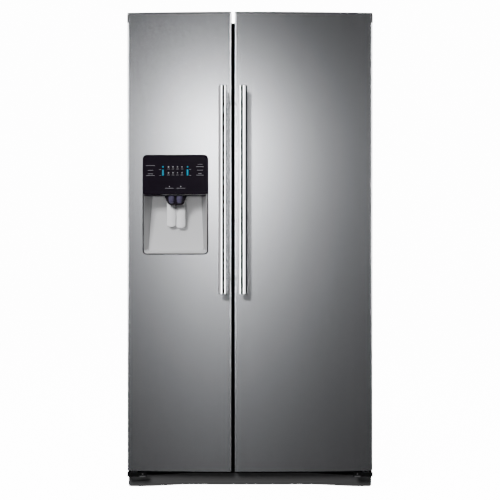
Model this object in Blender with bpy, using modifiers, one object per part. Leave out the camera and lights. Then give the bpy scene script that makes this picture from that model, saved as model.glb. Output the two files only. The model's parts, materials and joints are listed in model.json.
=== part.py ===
"""Side-by-side refrigerator: freezer with a dispenser on the left, fridge on the right.

Metres, +Z up, front towards -Y. The origin is on the floor, in the middle of the whole object's footprint.
"""

import math

import bmesh
import bpy

# ---- driving dimensions ----
WIDTH = 0.912  # over the doors
DEPTH = 0.890  # handle front to rear panel
DOOR_TOP = 1.770
DOOR_BOTTOM = 0.067
CASE_TOP = 1.745
COVER_TOP = 1.778  # top of the hinge covers, the highest point
CASE_WIDTH = 0.909

HANDLE_REACH = 0.058  # handle front to the crown of the doors
DOOR_BOW = 0.022  # how far the doors bulge in the middle
DOOR_EDGE_DEPTH = 0.062  # thickness of a door at the outer edge
SEAL_GAP = 0.012  # door back to case front
DOOR_GAP = 0.012
DOOR_GAP_X = -0.0626  # middle of the gap between the doors
DOOR_CORNER = 0.008

SHEET = 0.0012  # case steel
SKIN = 0.0010  # door steel
LINER = 0.0025  # formed plastic
FIT = 0.0003  # gap between parts that touch

# ---- worked out from them ----
CROWN_Y = -DEPTH / 2 + HANDLE_REACH
EDGE_Y = CROWN_Y + DOOR_BOW
DOOR_BACK = EDGE_Y + DOOR_EDGE_DEPTH
CASE_FRONT = DOOR_BACK + SEAL_GAP
CASE_BACK = DEPTH / 2
CASE_SIDE = CASE_WIDTH / 2
BOW_RADIUS = ((WIDTH / 2) ** 2 + DOOR_BOW**2) / (2 * DOOR_BOW)
DOOR_X = {
    -1: (-WIDTH / 2, DOOR_GAP_X - DOOR_GAP / 2),
    1: (DOOR_GAP_X + DOOR_GAP / 2, WIDTH / 2),
}
NAMES = {-1: "freezer", 1: "fridge"}

# hinge axis of each door
HINGE_INSET = 0.022
HINGE_X = WIDTH / 2 - HINGE_INSET
HINGE_Y = DOOR_BACK - 0.030
PIN_RADIUS = 0.005
PIN_HOLE = 0.0056
PLATE_TOP = DOOR_TOP - 0.006  # underside of the door's top plate
POCKET_FLOOR = 1.742  # hinge pocket in the top corner of a door
BLOCK_BOTTOM = 1.733
POCKET_INNER = 0.056  # pocket width from the door's outer side
NOTCH_REACH = 0.0285  # how far in front of the axis the pocket's side opening goes
TOP_ARM = 0.007  # half the width of the upper hinge arm, which turns in that opening
TOP_EYE = 0.009
LOW_ARM = 0.012
PLATE_X = 0.449  # outer edge of the hinge plates
COVER_INNER = 0.330  # inner edge of the hinge covers
COVER_WALL = 0.0025

# base of the case
CASE_BOTTOM = 0.064
PAN_Z = (0.0620, 0.0636)
LEG_X, LEG_Y = 0.400, -0.225
ROLLER_X, ROLLER_Y, ROLLER_RADIUS = 0.400, 0.360, 0.022
ROLLER_HALF = 0.011
EAR_OFFSET, EAR_HALF, EAR_DEPTH, EAR_BOTTOM = 0.0145, 0.001, 0.016, 0.012
AXLE_RADIUS = 0.004
KICK_BOTTOM, KICK_TOP = 0.0055, 0.0600
KICK_SETBACK = 0.035
KICK_WALL, KICK_CORNER = 0.0025, 0.012
KICK_RISE = 0.010  # how much higher its lower edge is in the middle
KICK_DROP = 0.0105  # how much its upper edge falls at the ends

# compartments, inside faces of the liners
INSIDE_X = {-1: (-0.3995, -0.0906), 1: (-0.0346, 0.4095)}
INSIDE_BOTTOM, INSIDE_TOP = 0.130, 1.690
INSIDE_BACK = 0.380
STEP_Y, STEP_Z = 0.150, 0.330  # the step over the machine room
MACHINE_ROOM_TOP, MACHINE_ROOM_FRONT = 0.300, 0.185
LINER_GAP = 0.0005  # between a liner and the case steel beside it
LIP_X = (INSIDE_X[-1][0] - LINER - LINER_GAP + FIT, INSIDE_X[1][1] + LINER + LINER_GAP - FIT)

# machine room
VENT_BANKS, VENTS_IN_BANK, VENT_PITCH = (-0.400, 0.100), 7, 0.024
VENT_WIDTH, VENT_Z = 0.009, (0.110, 0.255)
GLAND_X, GLAND_Z, GLAND_RADIUS, CORD_RADIUS = 0.360, 0.150, 0.0095, 0.004
COMPRESSOR_AT, COMPRESSOR_FEET = (0.235, 0.315), (0.100, 0.070)  # its middle; half spans of its feet
COIL_X, COIL_Y, COIL_LOW, COIL_PITCH, COIL_TURNS = (-0.400, -0.130), (0.222, 0.415), 0.092, 0.034, 5
COIL_CORNER, COIL_TUBE = 0.022, 0.005
CONDENSER_FAN = (-0.025, 0.315, 0.175)
FAN_POST_X = (-0.075, -0.055)

# what the compartments hold: height of each shelf's top, (bottom, top) of each drawer and bin
SHELF_FRONT = -0.165
FRIDGE_SHELVES = {"fridge_shelf_upper": 1.320, "fridge_shelf_lower": 0.945}
FREEZER_SHELVES = {"freezer_shelf_upper": 0.830, "freezer_shelf_lower": 0.440}
FRIDGE_SHELF_BACK, FREEZER_SHELF_BACK = 0.350, 0.3165
CRISPER_COVER, CRISPER_FRONT = 0.572, -0.135
DRAWER_FRONT, DRAWER_GAP = -0.115, 0.0045
ABOVE_STEP, BEFORE_STEP = 0.340, STEP_Y - 0.007  # how far back a drawer goes
UPPER_CRISPER, LOWER_CRISPER = (0.350, 0.545), (0.1335, 0.335)
FREEZER_DRAWER = (0.1335, 0.412)
TRAY_WALL = 0.003
DUCT_X, DUCT_Y, DUCT_Z = (0.070, 0.305), 0.3620, (0.600, 1.660)
DUCT_VENTS = (0.700, 0.960, 1.220, 1.480)
EVAPORATOR_COVER_Y = (0.3180, 0.3215)
EVAPORATOR_FAN = (sum(INSIDE_X[-1]) / 2, 0.344, 1.080)
INTAKES = (0.520, 0.550, 0.580, 0.610, 0.640)
FINNED_Y, FINNED_LOW, FINNED_PITCH, FINNED_PASSES = 0.350, 0.360, 0.054, 8
ICE_MAKER_Z, ICE_BUCKET_Z = (1.490, 1.600), (1.235, 1.430)
ICE_Y = (-0.235, 0.290)
AUGER_Z, AUGER_REACH, AUGER_WIRE, AUGER_TURNS = 1.268, 0.022, 0.0035, 7

# door inner side
DIKE_GAP, DIKE_WALL, DIKE_BACK = 0.012, 0.014, -0.268
BIN_BACK = -0.222
SEAL_WIDTH = 0.014
SEAL_Z = (0.090, 1.730)
SEAL_EDGE = {"hinge": 0.023, "free": 0.008}  # from the door's sides; the first lies inside the hinge axis
DOOR_BINS = {
    "freezer_door_bin_lower": (-1, (0.200, 0.330)),
    "freezer_door_bin_upper": (-1, (0.540, 0.660)),
    "fridge_door_bin_lower": (1, (0.180, 0.330)),
    "fridge_door_bin_upper": (1, (0.790, 0.920)),
    "dairy_bin": (1, (1.400, 1.530)),
}
BIN_EDGE = DIKE_GAP + DIKE_WALL + FIT
FLAP_THICK, FLAP_KNUCKLE = 0.003, 0.0035

# dispenser
DISPENSER_X = (-0.398, -0.154)
DISPENSER_Z = (0.873, 1.242)
PANEL_BOTTOM = 1.097
DISPENSER_MID = sum(DISPENSER_X) / 2
DISPENSER_RIM = 0.006  # how far its frame lies over the edge of the hole in the door
DISPENSER_WALL = 0.003
FRAME_PROUD, FRAME_BACK = 0.0023, 0.0003  # in front of the door
PANEL_PROUD, PANEL_BACK = 0.0066, 0.0026
ALCOVE_BACK, ALCOVE_BACK_LOW = -0.272, -0.335  # its sloping back, at the top and at the bottom
ALCOVE_TOP_HALF, ALCOVE_LOW_HALF = 0.092, 0.103
SPOUT_Z, SPOUT_Y = 1.057, (-0.376, -0.341)
LEVER_PIVOT = (-0.325, 1.083)  # y, z
LEVER_OFFSET, LEVER_HALF = 0.0178, 0.0170
LEVER_Y, LEVER_BOTTOM = (-0.3350, -0.3270), 0.977

# handles
HANDLE_OFFSET = 0.0375  # from the middle of the door gap
HANDLE_Z = (0.730, 1.491)
HANDLE_WIDTH, HANDLE_THICK = 0.030, 0.022
POST_INSET, POST_RADIUS = 0.055, 0.008

ROUND = 24  # sides of a round piece


def clear_scene():
    for obj in list(bpy.data.objects):
        bpy.data.objects.remove(obj)


def make_collection(name):
    collection = bpy.data.collections.new(name)
    bpy.context.scene.collection.children.link(collection)
    return collection


def make_material(name, colour, roughness, metallic=0.0, alpha=1.0):
    material = bpy.data.materials.new(name)
    material.use_nodes = True
    shader = material.node_tree.nodes["Principled BSDF"]
    shader.inputs["Base Color"].default_value = (*colour, 1.0)
    shader.inputs["Roughness"].default_value = roughness
    shader.inputs["Metallic"].default_value = metallic
    shader.inputs["Alpha"].default_value = alpha
    return material


clear_scene()
PARTS = make_collection("refrigerator")
CUTTERS = make_collection("cutters")

STEEL = make_material("brushed_steel", (0.50, 0.51, 0.53), 0.32, 1.0)
BRIGHT = make_material("polished_steel", (0.80, 0.80, 0.80), 0.18, 1.0)
PAINT = make_material("grey_paint", (0.30, 0.31, 0.33), 0.5)
ZINC = make_material("zinc_steel", (0.60, 0.60, 0.62), 0.4, 1.0)
WHITE = make_material("white_plastic", (0.85, 0.86, 0.87), 0.45)
CLEAR = make_material("clear_plastic", (0.80, 0.88, 0.92), 0.1, alpha=0.4)
GLASS = make_material("shelf_glass", (0.75, 0.88, 0.86), 0.05, alpha=0.35)
BLACK = make_material("black_plastic", (0.02, 0.02, 0.025), 0.35)
CHARCOAL = make_material("charcoal_plastic", (0.06, 0.06, 0.065), 0.5)
SILVER = make_material("silver_plastic", (0.62, 0.63, 0.64), 0.35)
RUBBER = make_material("seal_rubber", (0.35, 0.36, 0.37), 0.7)
COPPER = make_material("copper_tube", (0.75, 0.40, 0.25), 0.3, 1.0)


# ---- shapes ----
def finish(obj, name, material, collection=None):
    obj.name = name
    for old in list(obj.users_collection):
        old.objects.unlink(obj)
    (collection or PARTS).objects.link(obj)
    if material and not obj.data.materials:
        obj.data.materials.append(material)
    return obj


def block(name, x, y, z, material=None):
    """A box; x, y and z are its (low, high) faces."""
    spans = (x, y, z)
    centre = [(low + high) / 2 for low, high in spans]
    bpy.ops.mesh.primitive_cube_add(size=1, location=centre)
    obj = bpy.context.object
    obj.scale = [high - low for low, high in spans]
    bpy.ops.object.transform_apply(location=False, rotation=False, scale=True)
    return finish(obj, name, material)


def as_mesh(curve_object, name, material):
    """The mesh of a curve object, with its caps welded on."""
    bpy.context.view_layer.update()
    graph = bpy.context.evaluated_depsgraph_get()
    mesh = bpy.data.meshes.new_from_object(curve_object.evaluated_get(graph))
    shape = bmesh.new()
    shape.from_mesh(mesh)
    bmesh.ops.remove_doubles(shape, verts=shape.verts, dist=1e-6)
    bmesh.ops.recalc_face_normals(shape, faces=shape.faces)
    shape.to_mesh(mesh)
    shape.free()
    solid = bpy.data.objects.new(name, mesh)
    solid.matrix_world = curve_object.matrix_world
    bpy.data.objects.remove(curve_object)
    return finish(solid, name, material)


def prism(name, outline, span, axis, material=None):
    """A flat outline drawn out along an axis: (x, y) along Z, (y, z) along X or (x, z) along Y."""
    curve = bpy.data.curves.new(name, "CURVE")
    curve.dimensions = "2D"
    curve.fill_mode = "BOTH"
    curve.extrude = (span[1] - span[0]) / 2
    spline = curve.splines.new("POLY")
    spline.points.add(len(outline) - 1)
    for point, (u, v) in zip(spline.points, outline):
        point.co = (u, v, 0, 1)
    spline.use_cyclic_u = True
    obj = bpy.data.objects.new(name, curve)
    bpy.context.scene.collection.objects.link(obj)
    middle = (span[0] + span[1]) / 2
    quarter = math.pi / 2
    obj.location = {"X": (middle, 0, 0), "Y": (0, middle, 0), "Z": (0, 0, middle)}[axis]
    obj.rotation_euler = {"X": (quarter, 0, quarter), "Y": (quarter, 0, 0), "Z": (0, 0, 0)}[axis]
    return as_mesh(obj, name, material)


TURNS = {"X": (0, math.pi / 2, 0), "Y": (math.pi / 2, 0, 0), "Z": (0, 0, 0)}


def cylinder(name, radius, length, centre, axis, material=None, sides=ROUND):
    bpy.ops.mesh.primitive_cylinder_add(
        vertices=sides, radius=radius, depth=length, location=centre, rotation=TURNS[axis]
    )
    return finish(bpy.context.object, name, material)


def turned(name, profile, centre, axis, material):
    """A turned piece. The profile's (radius, height) points run down its outer side, top to bottom."""
    mesh = bpy.data.meshes.new(name)
    points = [(radius, 0, height) for radius, height in profile]
    closed = profile[0] == profile[-1]
    if closed:
        points.pop()
    count = len(points)
    edges = [(i, (i + 1) % count) for i in range(count if closed else count - 1)]
    mesh.from_pydata(points, edges, [])
    obj = bpy.data.objects.new(name, mesh)
    obj.location = centre
    obj.rotation_euler = TURNS[axis]
    screw = obj.modifiers.new("turn", "SCREW")
    screw.steps = screw.render_steps = ROUND
    screw.use_merge_vertices = True
    screw.merge_threshold = 0.0001
    return finish(obj, name, material)


def tube(name, points, radius, material):
    """A round wire through the points."""
    curve = bpy.data.curves.new(name, "CURVE")
    curve.dimensions = "3D"
    curve.bevel_depth = radius
    curve.bevel_resolution = 2
    curve.use_fill_caps = True
    spline = curve.splines.new("POLY")
    spline.points.add(len(points) - 1)
    for point, place in zip(spline.points, points):
        point.co = (*place, 1)
    obj = bpy.data.objects.new(name, curve)
    return finish(obj, name, material)


def tapered_block(name, front, back, y):
    """A cutter whose front and back rectangles differ: each is ((x low, x high) at the top, the same at the
    bottom, (z low, z high)); y gives front, back at the top and back at the bottom."""
    obj = block(name, (-1, 1), (-1, 1), (-1, 1))
    for vertex in obj.data.vertices:
        right, rear, top = (value > 0 for value in vertex.co)
        wide_top, wide_bottom, height = back if rear else front
        across = (wide_top if top else wide_bottom)[int(right)]
        deep = y[0] if not rear else (y[1] if top else y[2])
        vertex.co = (across, deep, height[int(top)])
    return obj


def boolean(target, operation, tools):
    for tool in tools:
        modifier = target.modifiers.new(f"{operation.lower()}_{tool.name}", "BOOLEAN")
        modifier.operation = operation
        modifier.object = tool
        finish(tool, tool.name, None, CUTTERS)
        tool.hide_render = True
        tool.display_type = "WIRE"
    return target


def cut(target, *tools):
    return boolean(target, "DIFFERENCE", tools)


def fuse(target, *tools):
    return boolean(target, "UNION", tools)


def pivot(name, place):
    """An empty on a joint's axis."""
    empty = bpy.data.objects.new(name, None)
    empty.empty_display_size = 0.05
    empty.location = place
    PARTS.objects.link(empty)
    return empty


def ride(empty, *objects):
    """Parents the objects, and their cutters, to the empty without moving them."""
    for obj in objects:
        tools = [m.object for m in obj.modifiers if m.type == "BOOLEAN"]
        for each in [obj, *tools]:
            each.parent = empty
            each.location = each.location - empty.location


def hang(child, parent):
    """Parents one axis empty to another without moving it."""
    child.parent = parent
    child.location = child.location - parent.location


def ordered(a, b):
    return (min(a, b), max(a, b))


def inside(span, wall):
    return (span[0] + wall, span[1] - wall)


def tray(name, x, y, z, material):
    """A container that is open at the top."""
    outer = block(name, x, y, z, material)
    room = (z[0] + TRAY_WALL, z[1] + 0.05)
    return cut(outer, block(name + "_inside", inside(x, TRAY_WALL), inside(y, TRAY_WALL), room))


# ---- outlines ----
def front_y(x):
    """Front surface of the bowed doors."""
    return CROWN_Y + BOW_RADIUS - math.sqrt(BOW_RADIUS**2 - x**2)


def bowed_outline(x, back, inset=0.0, setback=0.0, corner=DOOR_CORNER):
    """Plan of a bowed box with rounded front corners, from back left round the front to back right."""
    radius = corner - inset
    points = [(x[0] + inset, back)]
    for side, start in ((x[0] + corner, math.pi), (x[1] - corner, 1.5 * math.pi)):
        middle_y = front_y(side) + setback + corner
        arc = [start + step * math.pi / 8 for step in range(5)]
        rounded = [(side + radius * math.cos(a), middle_y + radius * math.sin(a)) for a in arc]
        if side > x[0] + corner:
            span = side - x[0] - corner
            between = [x[0] + corner + span * step / 12 for step in range(1, 12)]
            points += [(across, front_y(across) + setback + inset) for across in between]
        points += rounded
    return points + [(x[1] - inset, back)]


def bowed_shell(x, back, wall, setback=0.0, corner=DOOR_CORNER):
    """Plan of the sheet that wraps the front and both sides of a bowed box."""
    outer = bowed_outline(x, back, 0.0, setback, corner)
    inner = bowed_outline(x, back, wall, setback, corner)
    return outer + inner[::-1]


def smooth_step(value, low, high):
    share = min(1.0, max(0.0, (value - low) / (high - low)))
    return share * share * (3 - 2 * share)


# ---- case ----
def side_panel(side):
    edge = INSIDE_X[side][0 if side < 0 else 1] + side * (LINER + LINER_GAP)
    outline = [
        (edge, CASE_FRONT),
        (side * CASE_SIDE, CASE_FRONT),
        (side * CASE_SIDE, CASE_BACK),
        (side * (CASE_SIDE - SHEET), CASE_BACK),
        (side * (CASE_SIDE - SHEET), CASE_FRONT + SHEET),
        (edge, CASE_FRONT + SHEET),
    ]
    name = "left_side_panel" if side < 0 else "right_side_panel"
    return prism(name, outline, (CASE_BOTTOM, CASE_TOP - SHEET - FIT), "Z", PAINT)


def case_panels():
    side_panel(-1)
    side_panel(1)
    top = block(
        "top_panel",
        (-CASE_SIDE, CASE_SIDE),
        (CASE_FRONT, CASE_BACK),
        (CASE_TOP - SHEET, CASE_TOP),
        PAINT,
    )
    lip_z = (INSIDE_TOP + LINER + LINER_GAP, CASE_TOP - SHEET / 2)
    fuse(top, block("top_lip", LIP_X, (CASE_FRONT + 0.0001, CASE_FRONT + SHEET), lip_z))
    inner = CASE_SIDE - SHEET - FIT
    back, fold = CASE_BACK, CASE_BACK - SHEET
    low, room, face = CASE_BOTTOM, MACHINE_ROOM_TOP, MACHINE_ROOM_FRONT
    outline = [
        (back, CASE_TOP - SHEET - FIT),
        (fold, CASE_TOP - SHEET - FIT),
        (fold, room + SHEET),
        (face, room + SHEET),
        (face, low),
        (face + SHEET, low),
        (face + SHEET, room),
        (back, room),
    ]
    prism("rear_panel", outline, (-inner, inner), "X", PAINT)


def base_plate():
    inner = CASE_SIDE - SHEET - FIT
    plate = block("base_plate", (-inner, inner), (CASE_FRONT + 0.0015, CASE_BACK - SHEET - FIT), PAN_Z, ZINC)
    lip_z = (PAN_Z[0] + 0.0002, INSIDE_BOTTOM - LINER - LINER_GAP)
    fuse(plate, block("base_lip", LIP_X, (CASE_FRONT, CASE_FRONT + 0.0020), lip_z))
    for side in (-1, 1):
        for ear in (-1, 1):
            middle = side * ROLLER_X + ear * EAR_OFFSET
            across = (middle - EAR_HALF, middle + EAR_HALF)
            along = (ROLLER_Y - EAR_DEPTH, ROLLER_Y + EAR_DEPTH)
            fuse(plate, block(f"ear_{side}_{ear}", across, along, (EAR_BOTTOM, PAN_Z[0] + 0.0005)))
        axle_at = (side * ROLLER_X, ROLLER_Y, ROLLER_RADIUS)
        fuse(plate, cylinder(f"axle_{side}", AXLE_RADIUS, 2 * (EAR_OFFSET + 0.0025), axle_at, "X", sides=16))
    _, fan_y, fan_z = CONDENSER_FAN
    post_z = (PAN_Z[1] - 0.0005, fan_z + 0.005)
    fuse(plate, block("fan_post", FAN_POST_X, (fan_y - 0.015, fan_y + 0.015), post_z))
    motor_at = (FAN_POST_X[1] - 0.0015, fan_y, fan_z)
    fuse(plate, cylinder("fan_motor", 0.026, 0.040, motor_at, "X", sides=20))
    return plate


def machine_room():
    cover = block(
        "machine_room_cover",
        (-CASE_SIDE + SHEET + FIT, CASE_SIDE - SHEET - FIT),
        (CASE_BACK - SHEET, CASE_BACK),
        (CASE_BOTTOM, MACHINE_ROOM_TOP - FIT),
        CHARCOAL,
    )
    for bank in VENT_BANKS:
        for index in range(VENTS_IN_BANK):
            x = bank + index * VENT_PITCH
            vent_y = (CASE_BACK - 0.01, CASE_BACK + 0.01)
            cut(cover, block(f"vent_{bank}_{index}", (x, x + VENT_WIDTH), vent_y, VENT_Z))

    # the flange sits inside the cover, and its neck fills the hole
    gland_at = (GLAND_X, CASE_BACK - SHEET - FIT, GLAND_Z)
    cut(cover, cylinder("gland_hole", GLAND_RADIUS + 0.0005, 0.02, gland_at, "Y"))
    through = SHEET + FIT
    collar = [
        (0.010, 0.012),
        (0.014, 0.004),
        (0.014, 0.0),
        (GLAND_RADIUS, 0.0),
        (GLAND_RADIUS, -through),
        (CORD_RADIUS, -through),
        (CORD_RADIUS, 0.012),
        (0.010, 0.012),
    ]
    turned("power_cord_gland", collar, gland_at, "Y", BLACK)

    body = [
        (0.0, 0.245),
        (0.030, 0.243),
        (0.054, 0.232),
        (0.068, 0.210),
        (0.072, 0.180),
        (0.074, 0.160),
        (0.072, 0.140),
        (0.070, 0.100),
        (0.060, 0.082),
        (0.0, 0.076),
    ]
    middle_x, middle_y = COMPRESSOR_AT
    compressor = turned("compressor", body, (middle_x, middle_y, 0), "Z", BLACK)
    half_x, half_y = COMPRESSOR_FEET
    feet_x, feet_y = (middle_x - half_x, middle_x + half_x), (middle_y - half_y, middle_y + half_y)
    fuse(compressor, block("compressor_feet", feet_x, feet_y, (PAN_Z[1] + FIT, 0.080)))

    inner_x, inner_y = inside(COIL_X, COIL_CORNER), inside(COIL_Y, COIL_CORNER)
    around = [
        (inner_x[0], COIL_Y[0]),
        (inner_x[1], COIL_Y[0]),
        (COIL_X[1], inner_y[0]),
        (COIL_X[1], inner_y[1]),
        (inner_x[1], COIL_Y[1]),
        (inner_x[0], COIL_Y[1]),
        (COIL_X[0], inner_y[1]),
        (COIL_X[0], inner_y[0]),
    ]
    coil = [
        (x, y, COIL_LOW + COIL_PITCH * (turn + i / len(around)))
        for turn in range(COIL_TURNS)
        for i, (x, y) in enumerate(around)
    ]
    tube("condenser_coil", coil, COIL_TUBE, COPPER)


def fan(name, centre, axis, radius, hub, blades=5, pitch=0.45, thickness=0.0025):
    """A hub with pitched blades."""
    wheel = cylinder(name, hub, 0.020, centre, axis, CHARCOAL, sides=20)
    root = hub * 0.6
    length, breadth = radius - root, radius * 0.62
    for index in range(blades):
        angle = index * 2 * math.pi / blades
        blade = block(f"{name}_blade_{index}", (-0.5, 0.5), (-0.5, 0.5), (-0.5, 0.5))
        for vertex in blade.data.vertices:
            thick, broad = vertex.co.x * thickness, vertex.co.y * breadth
            out = root + (vertex.co.z + 0.5) * length
            normal = thick * math.cos(pitch) - broad * math.sin(pitch)
            sideways = thick * math.sin(pitch) + broad * math.cos(pitch)
            u = out * math.cos(angle) - sideways * math.sin(angle)
            v = out * math.sin(angle) + sideways * math.cos(angle)
            vertex.co = (normal, u, v) if axis == "X" else (u, normal, v)
        blade.location = centre
        fuse(wheel, blade)
    ride(pivot(f"{name}_axis", centre), wheel)


def kick_plate():
    """Arched cover below the doors, with its ends cut down round the lower hinges."""
    side = CASE_SIDE + 0.0005
    shell = bowed_shell((-side, side), CASE_FRONT - FIT, KICK_WALL, KICK_SETBACK, KICK_CORNER)
    plate = prism("kick_plate", shell, (KICK_BOTTOM, KICK_TOP), "Z", CHARCOAL)
    arch_half, crest_half = 0.44, 0.48
    steps = [i / 24 for i in range(-24, 25)]
    low, high = KICK_BOTTOM - 0.001, KICK_TOP + 0.001
    arch_x, crest_x = [s * arch_half for s in steps], [s * crest_half for s in steps]
    arch = [(x, low + KICK_RISE * (1 - smooth_step(abs(x), 0.20, 0.43))) for x in arch_x]
    crest = [(x, high - KICK_DROP * smooth_step(abs(x), 0.16, 0.40)) for x in crest_x]
    below, over = [(arch_half, -0.02), (-arch_half, -0.02)], [(crest_half, 0.09), (-crest_half, 0.09)]
    under = prism("kick_arch", arch + below, (-0.50, -0.25), "Y")
    above = prism("kick_crest", crest + over, (-0.50, -0.25), "Y")
    return cut(plate, under, above)


def feet():
    leg = [
        (0.0, PAN_Z[0] - FIT),
        (0.006, PAN_Z[0] - FIT),
        (0.006, 0.020),
        (0.012, 0.016),
        (0.018, 0.010),
        (0.018, 0.0),
        (0.0, 0.0),
    ]
    half, bevel, bore = ROLLER_HALF, 0.003, AXLE_RADIUS + 0.0005
    tyre = [
        (ROLLER_RADIUS - bevel, half),
        (ROLLER_RADIUS, half - bevel),
        (ROLLER_RADIUS, -half + bevel),
        (ROLLER_RADIUS - bevel, -half),
        (bore, -half),
        (bore, half),
        (ROLLER_RADIUS - bevel, half),
    ]
    for side, word in ((-1, "left"), (1, "right")):
        turned(f"{word}_leveling_leg", leg, (side * LEG_X, LEG_Y, 0), "Z", CHARCOAL)
        axle = (side * ROLLER_X, ROLLER_Y, ROLLER_RADIUS)
        roller = turned(f"{word}_rear_roller", tyre, axle, "X", CHARCOAL)
        ride(pivot(f"{word}_roller_axle", axle), roller)


# ---- compartments ----
def liner(side):
    x = INSIDE_X[side]
    front = CASE_FRONT + 0.0015
    inner = [
        (front - 0.05, INSIDE_BOTTOM),
        (STEP_Y, INSIDE_BOTTOM),
        (STEP_Y, STEP_Z),
        (INSIDE_BACK, STEP_Z),
        (INSIDE_BACK, INSIDE_TOP),
        (front - 0.05, INSIDE_TOP),
    ]
    outer = [
        (front, INSIDE_BOTTOM - LINER),
        (STEP_Y + LINER, INSIDE_BOTTOM - LINER),
        (STEP_Y + LINER, STEP_Z - LINER),
        (INSIDE_BACK + LINER, STEP_Z - LINER),
        (INSIDE_BACK + LINER, INSIDE_TOP + LINER),
        (front, INSIDE_TOP + LINER),
    ]
    name = f"{NAMES[side]}_liner"
    shell = prism(name, outer, (x[0] - LINER, x[1] + LINER), "X", WHITE)
    cut(shell, prism(name + "_inside", inner, x, "X"))
    if side < 0:
        back = INSIDE_BACK + LINER / 2
        front = EVAPORATOR_FAN[1] + 0.0115
        motor_at = (EVAPORATOR_FAN[0], (front + back) / 2, EVAPORATOR_FAN[2])
        fuse(shell, cylinder("evaporator_motor", 0.015, back - front, motor_at, "Y", sides=20))
    return shell


def mullion():
    x = (INSIDE_X[-1][1] + LINER + FIT, INSIDE_X[1][0] - LINER - FIT)
    return block("center_mullion", x, (CASE_FRONT, CASE_FRONT + 0.0045), (0.128, 1.6925), PAINT)


def shelf(name, side, z, back, front=SHELF_FRONT):
    """A glass plate in a frame with a deeper front and rear bar; z is its top."""
    x = inside(INSIDE_X[side], FIT)
    plate = block(name, x, (front, back), (z - 0.006, z), GLASS)
    fuse(plate, block(name + "_lip", x, (front - 0.004, front + 0.016), (z - 0.018, z)))
    fuse(plate, block(name + "_rear", x, (back - 0.012, back + 0.001), (z - 0.014, z)))
    return plate


def drawer(name, side, back, z):
    """A drawer with a lip along its front to pull it by."""
    x = inside(INSIDE_X[side], DRAWER_GAP)
    body = tray(name, x, (DRAWER_FRONT, back), z, CLEAR)
    grip_y = (DRAWER_FRONT - 0.012, DRAWER_FRONT + 0.0015)
    grip = block(name + "_grip", x, grip_y, (z[1] - 0.030, z[1] - 0.0005))
    fuse(body, grip)
    ride(pivot(name + "_slide", (sum(x) / 2, DRAWER_FRONT, sum(z) / 2)), body)


def fridge_inside():
    for name, height in FRIDGE_SHELVES.items():
        shelf(name, 1, height, FRIDGE_SHELF_BACK)
    shelf("crisper_cover", 1, CRISPER_COVER, FRIDGE_SHELF_BACK, CRISPER_FRONT)
    drawer("crisper_drawer_upper", 1, ABOVE_STEP, UPPER_CRISPER)
    drawer("crisper_drawer_lower", 1, BEFORE_STEP, LOWER_CRISPER)
    duct = block("fridge_duct_cover", DUCT_X, (DUCT_Y, INSIDE_BACK - FIT), DUCT_Z, WHITE)
    for z in DUCT_VENTS:
        vent_y = (DUCT_Y - 0.012, DUCT_Y + 0.008)
        cut(duct, block(f"duct_vent_{z}", inside(DUCT_X, 0.040), vent_y, (z, z + 0.018)))


def evaporator_coil(x):
    """A tube wound to and fro between two end plates, behind the freezer's rear cover."""
    y, low, pitch, passes = FINNED_Y, FINNED_LOW, FINNED_PITCH, FINNED_PASSES
    bend, reach = pitch / 2, 0.012
    ends = inside(x, bend + reach)
    route = [(ends[0], y, low)]
    for index in range(passes):
        z, outward = low + index * pitch, 1 if index % 2 == 0 else -1
        end = ends[1] if outward > 0 else ends[0]
        if index == passes - 1:
            route.append((end, y, z))
            break
        for step in range(7):
            angle = step * math.pi / 6
            route.append((end + outward * bend * math.sin(angle), y, z + bend * (1 - math.cos(angle))))
    coil = as_mesh(tube("evaporator_route", route, 0.005, ZINC), "evaporator_coil", ZINC)
    plate_z = (low - reach, low + (passes - 1) * pitch + reach)
    for end, inward in zip(ends, (1, -1)):
        plate_x = ordered(end + inward * 0.010, end + inward * 0.012)
        fuse(coil, block(f"coil_plate_{inward}", plate_x, (y - reach, y + reach), plate_z))


def freezer_inside():
    x = INSIDE_X[-1]
    for name, height in FREEZER_SHELVES.items():
        shelf(name, -1, height, FREEZER_SHELF_BACK)
    drawer("freezer_drawer", -1, BEFORE_STEP, FREEZER_DRAWER)

    cover_y, cover_z = EVAPORATOR_COVER_Y, (STEP_Z + 0.0035, INSIDE_TOP - 0.0035)
    cover = block("evaporator_cover", inside(x, FIT), cover_y, cover_z, WHITE)
    fan_x, _, fan_z = EVAPORATOR_FAN
    cut(cover, cylinder("fan_opening", 0.055, 0.05, (fan_x, sum(cover_y) / 2, fan_z), "Y"))
    for z in INTAKES:
        through = (cover_y[0] - 0.02, cover_y[1] + 0.02)
        cut(cover, block(f"intake_{z}", inside(x, 0.06), through, (z, z + 0.010)))
    fan("evaporator_fan", EVAPORATOR_FAN, "Y", 0.048, 0.018)
    evaporator_coil(x)
    ice_machine(x)


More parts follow.
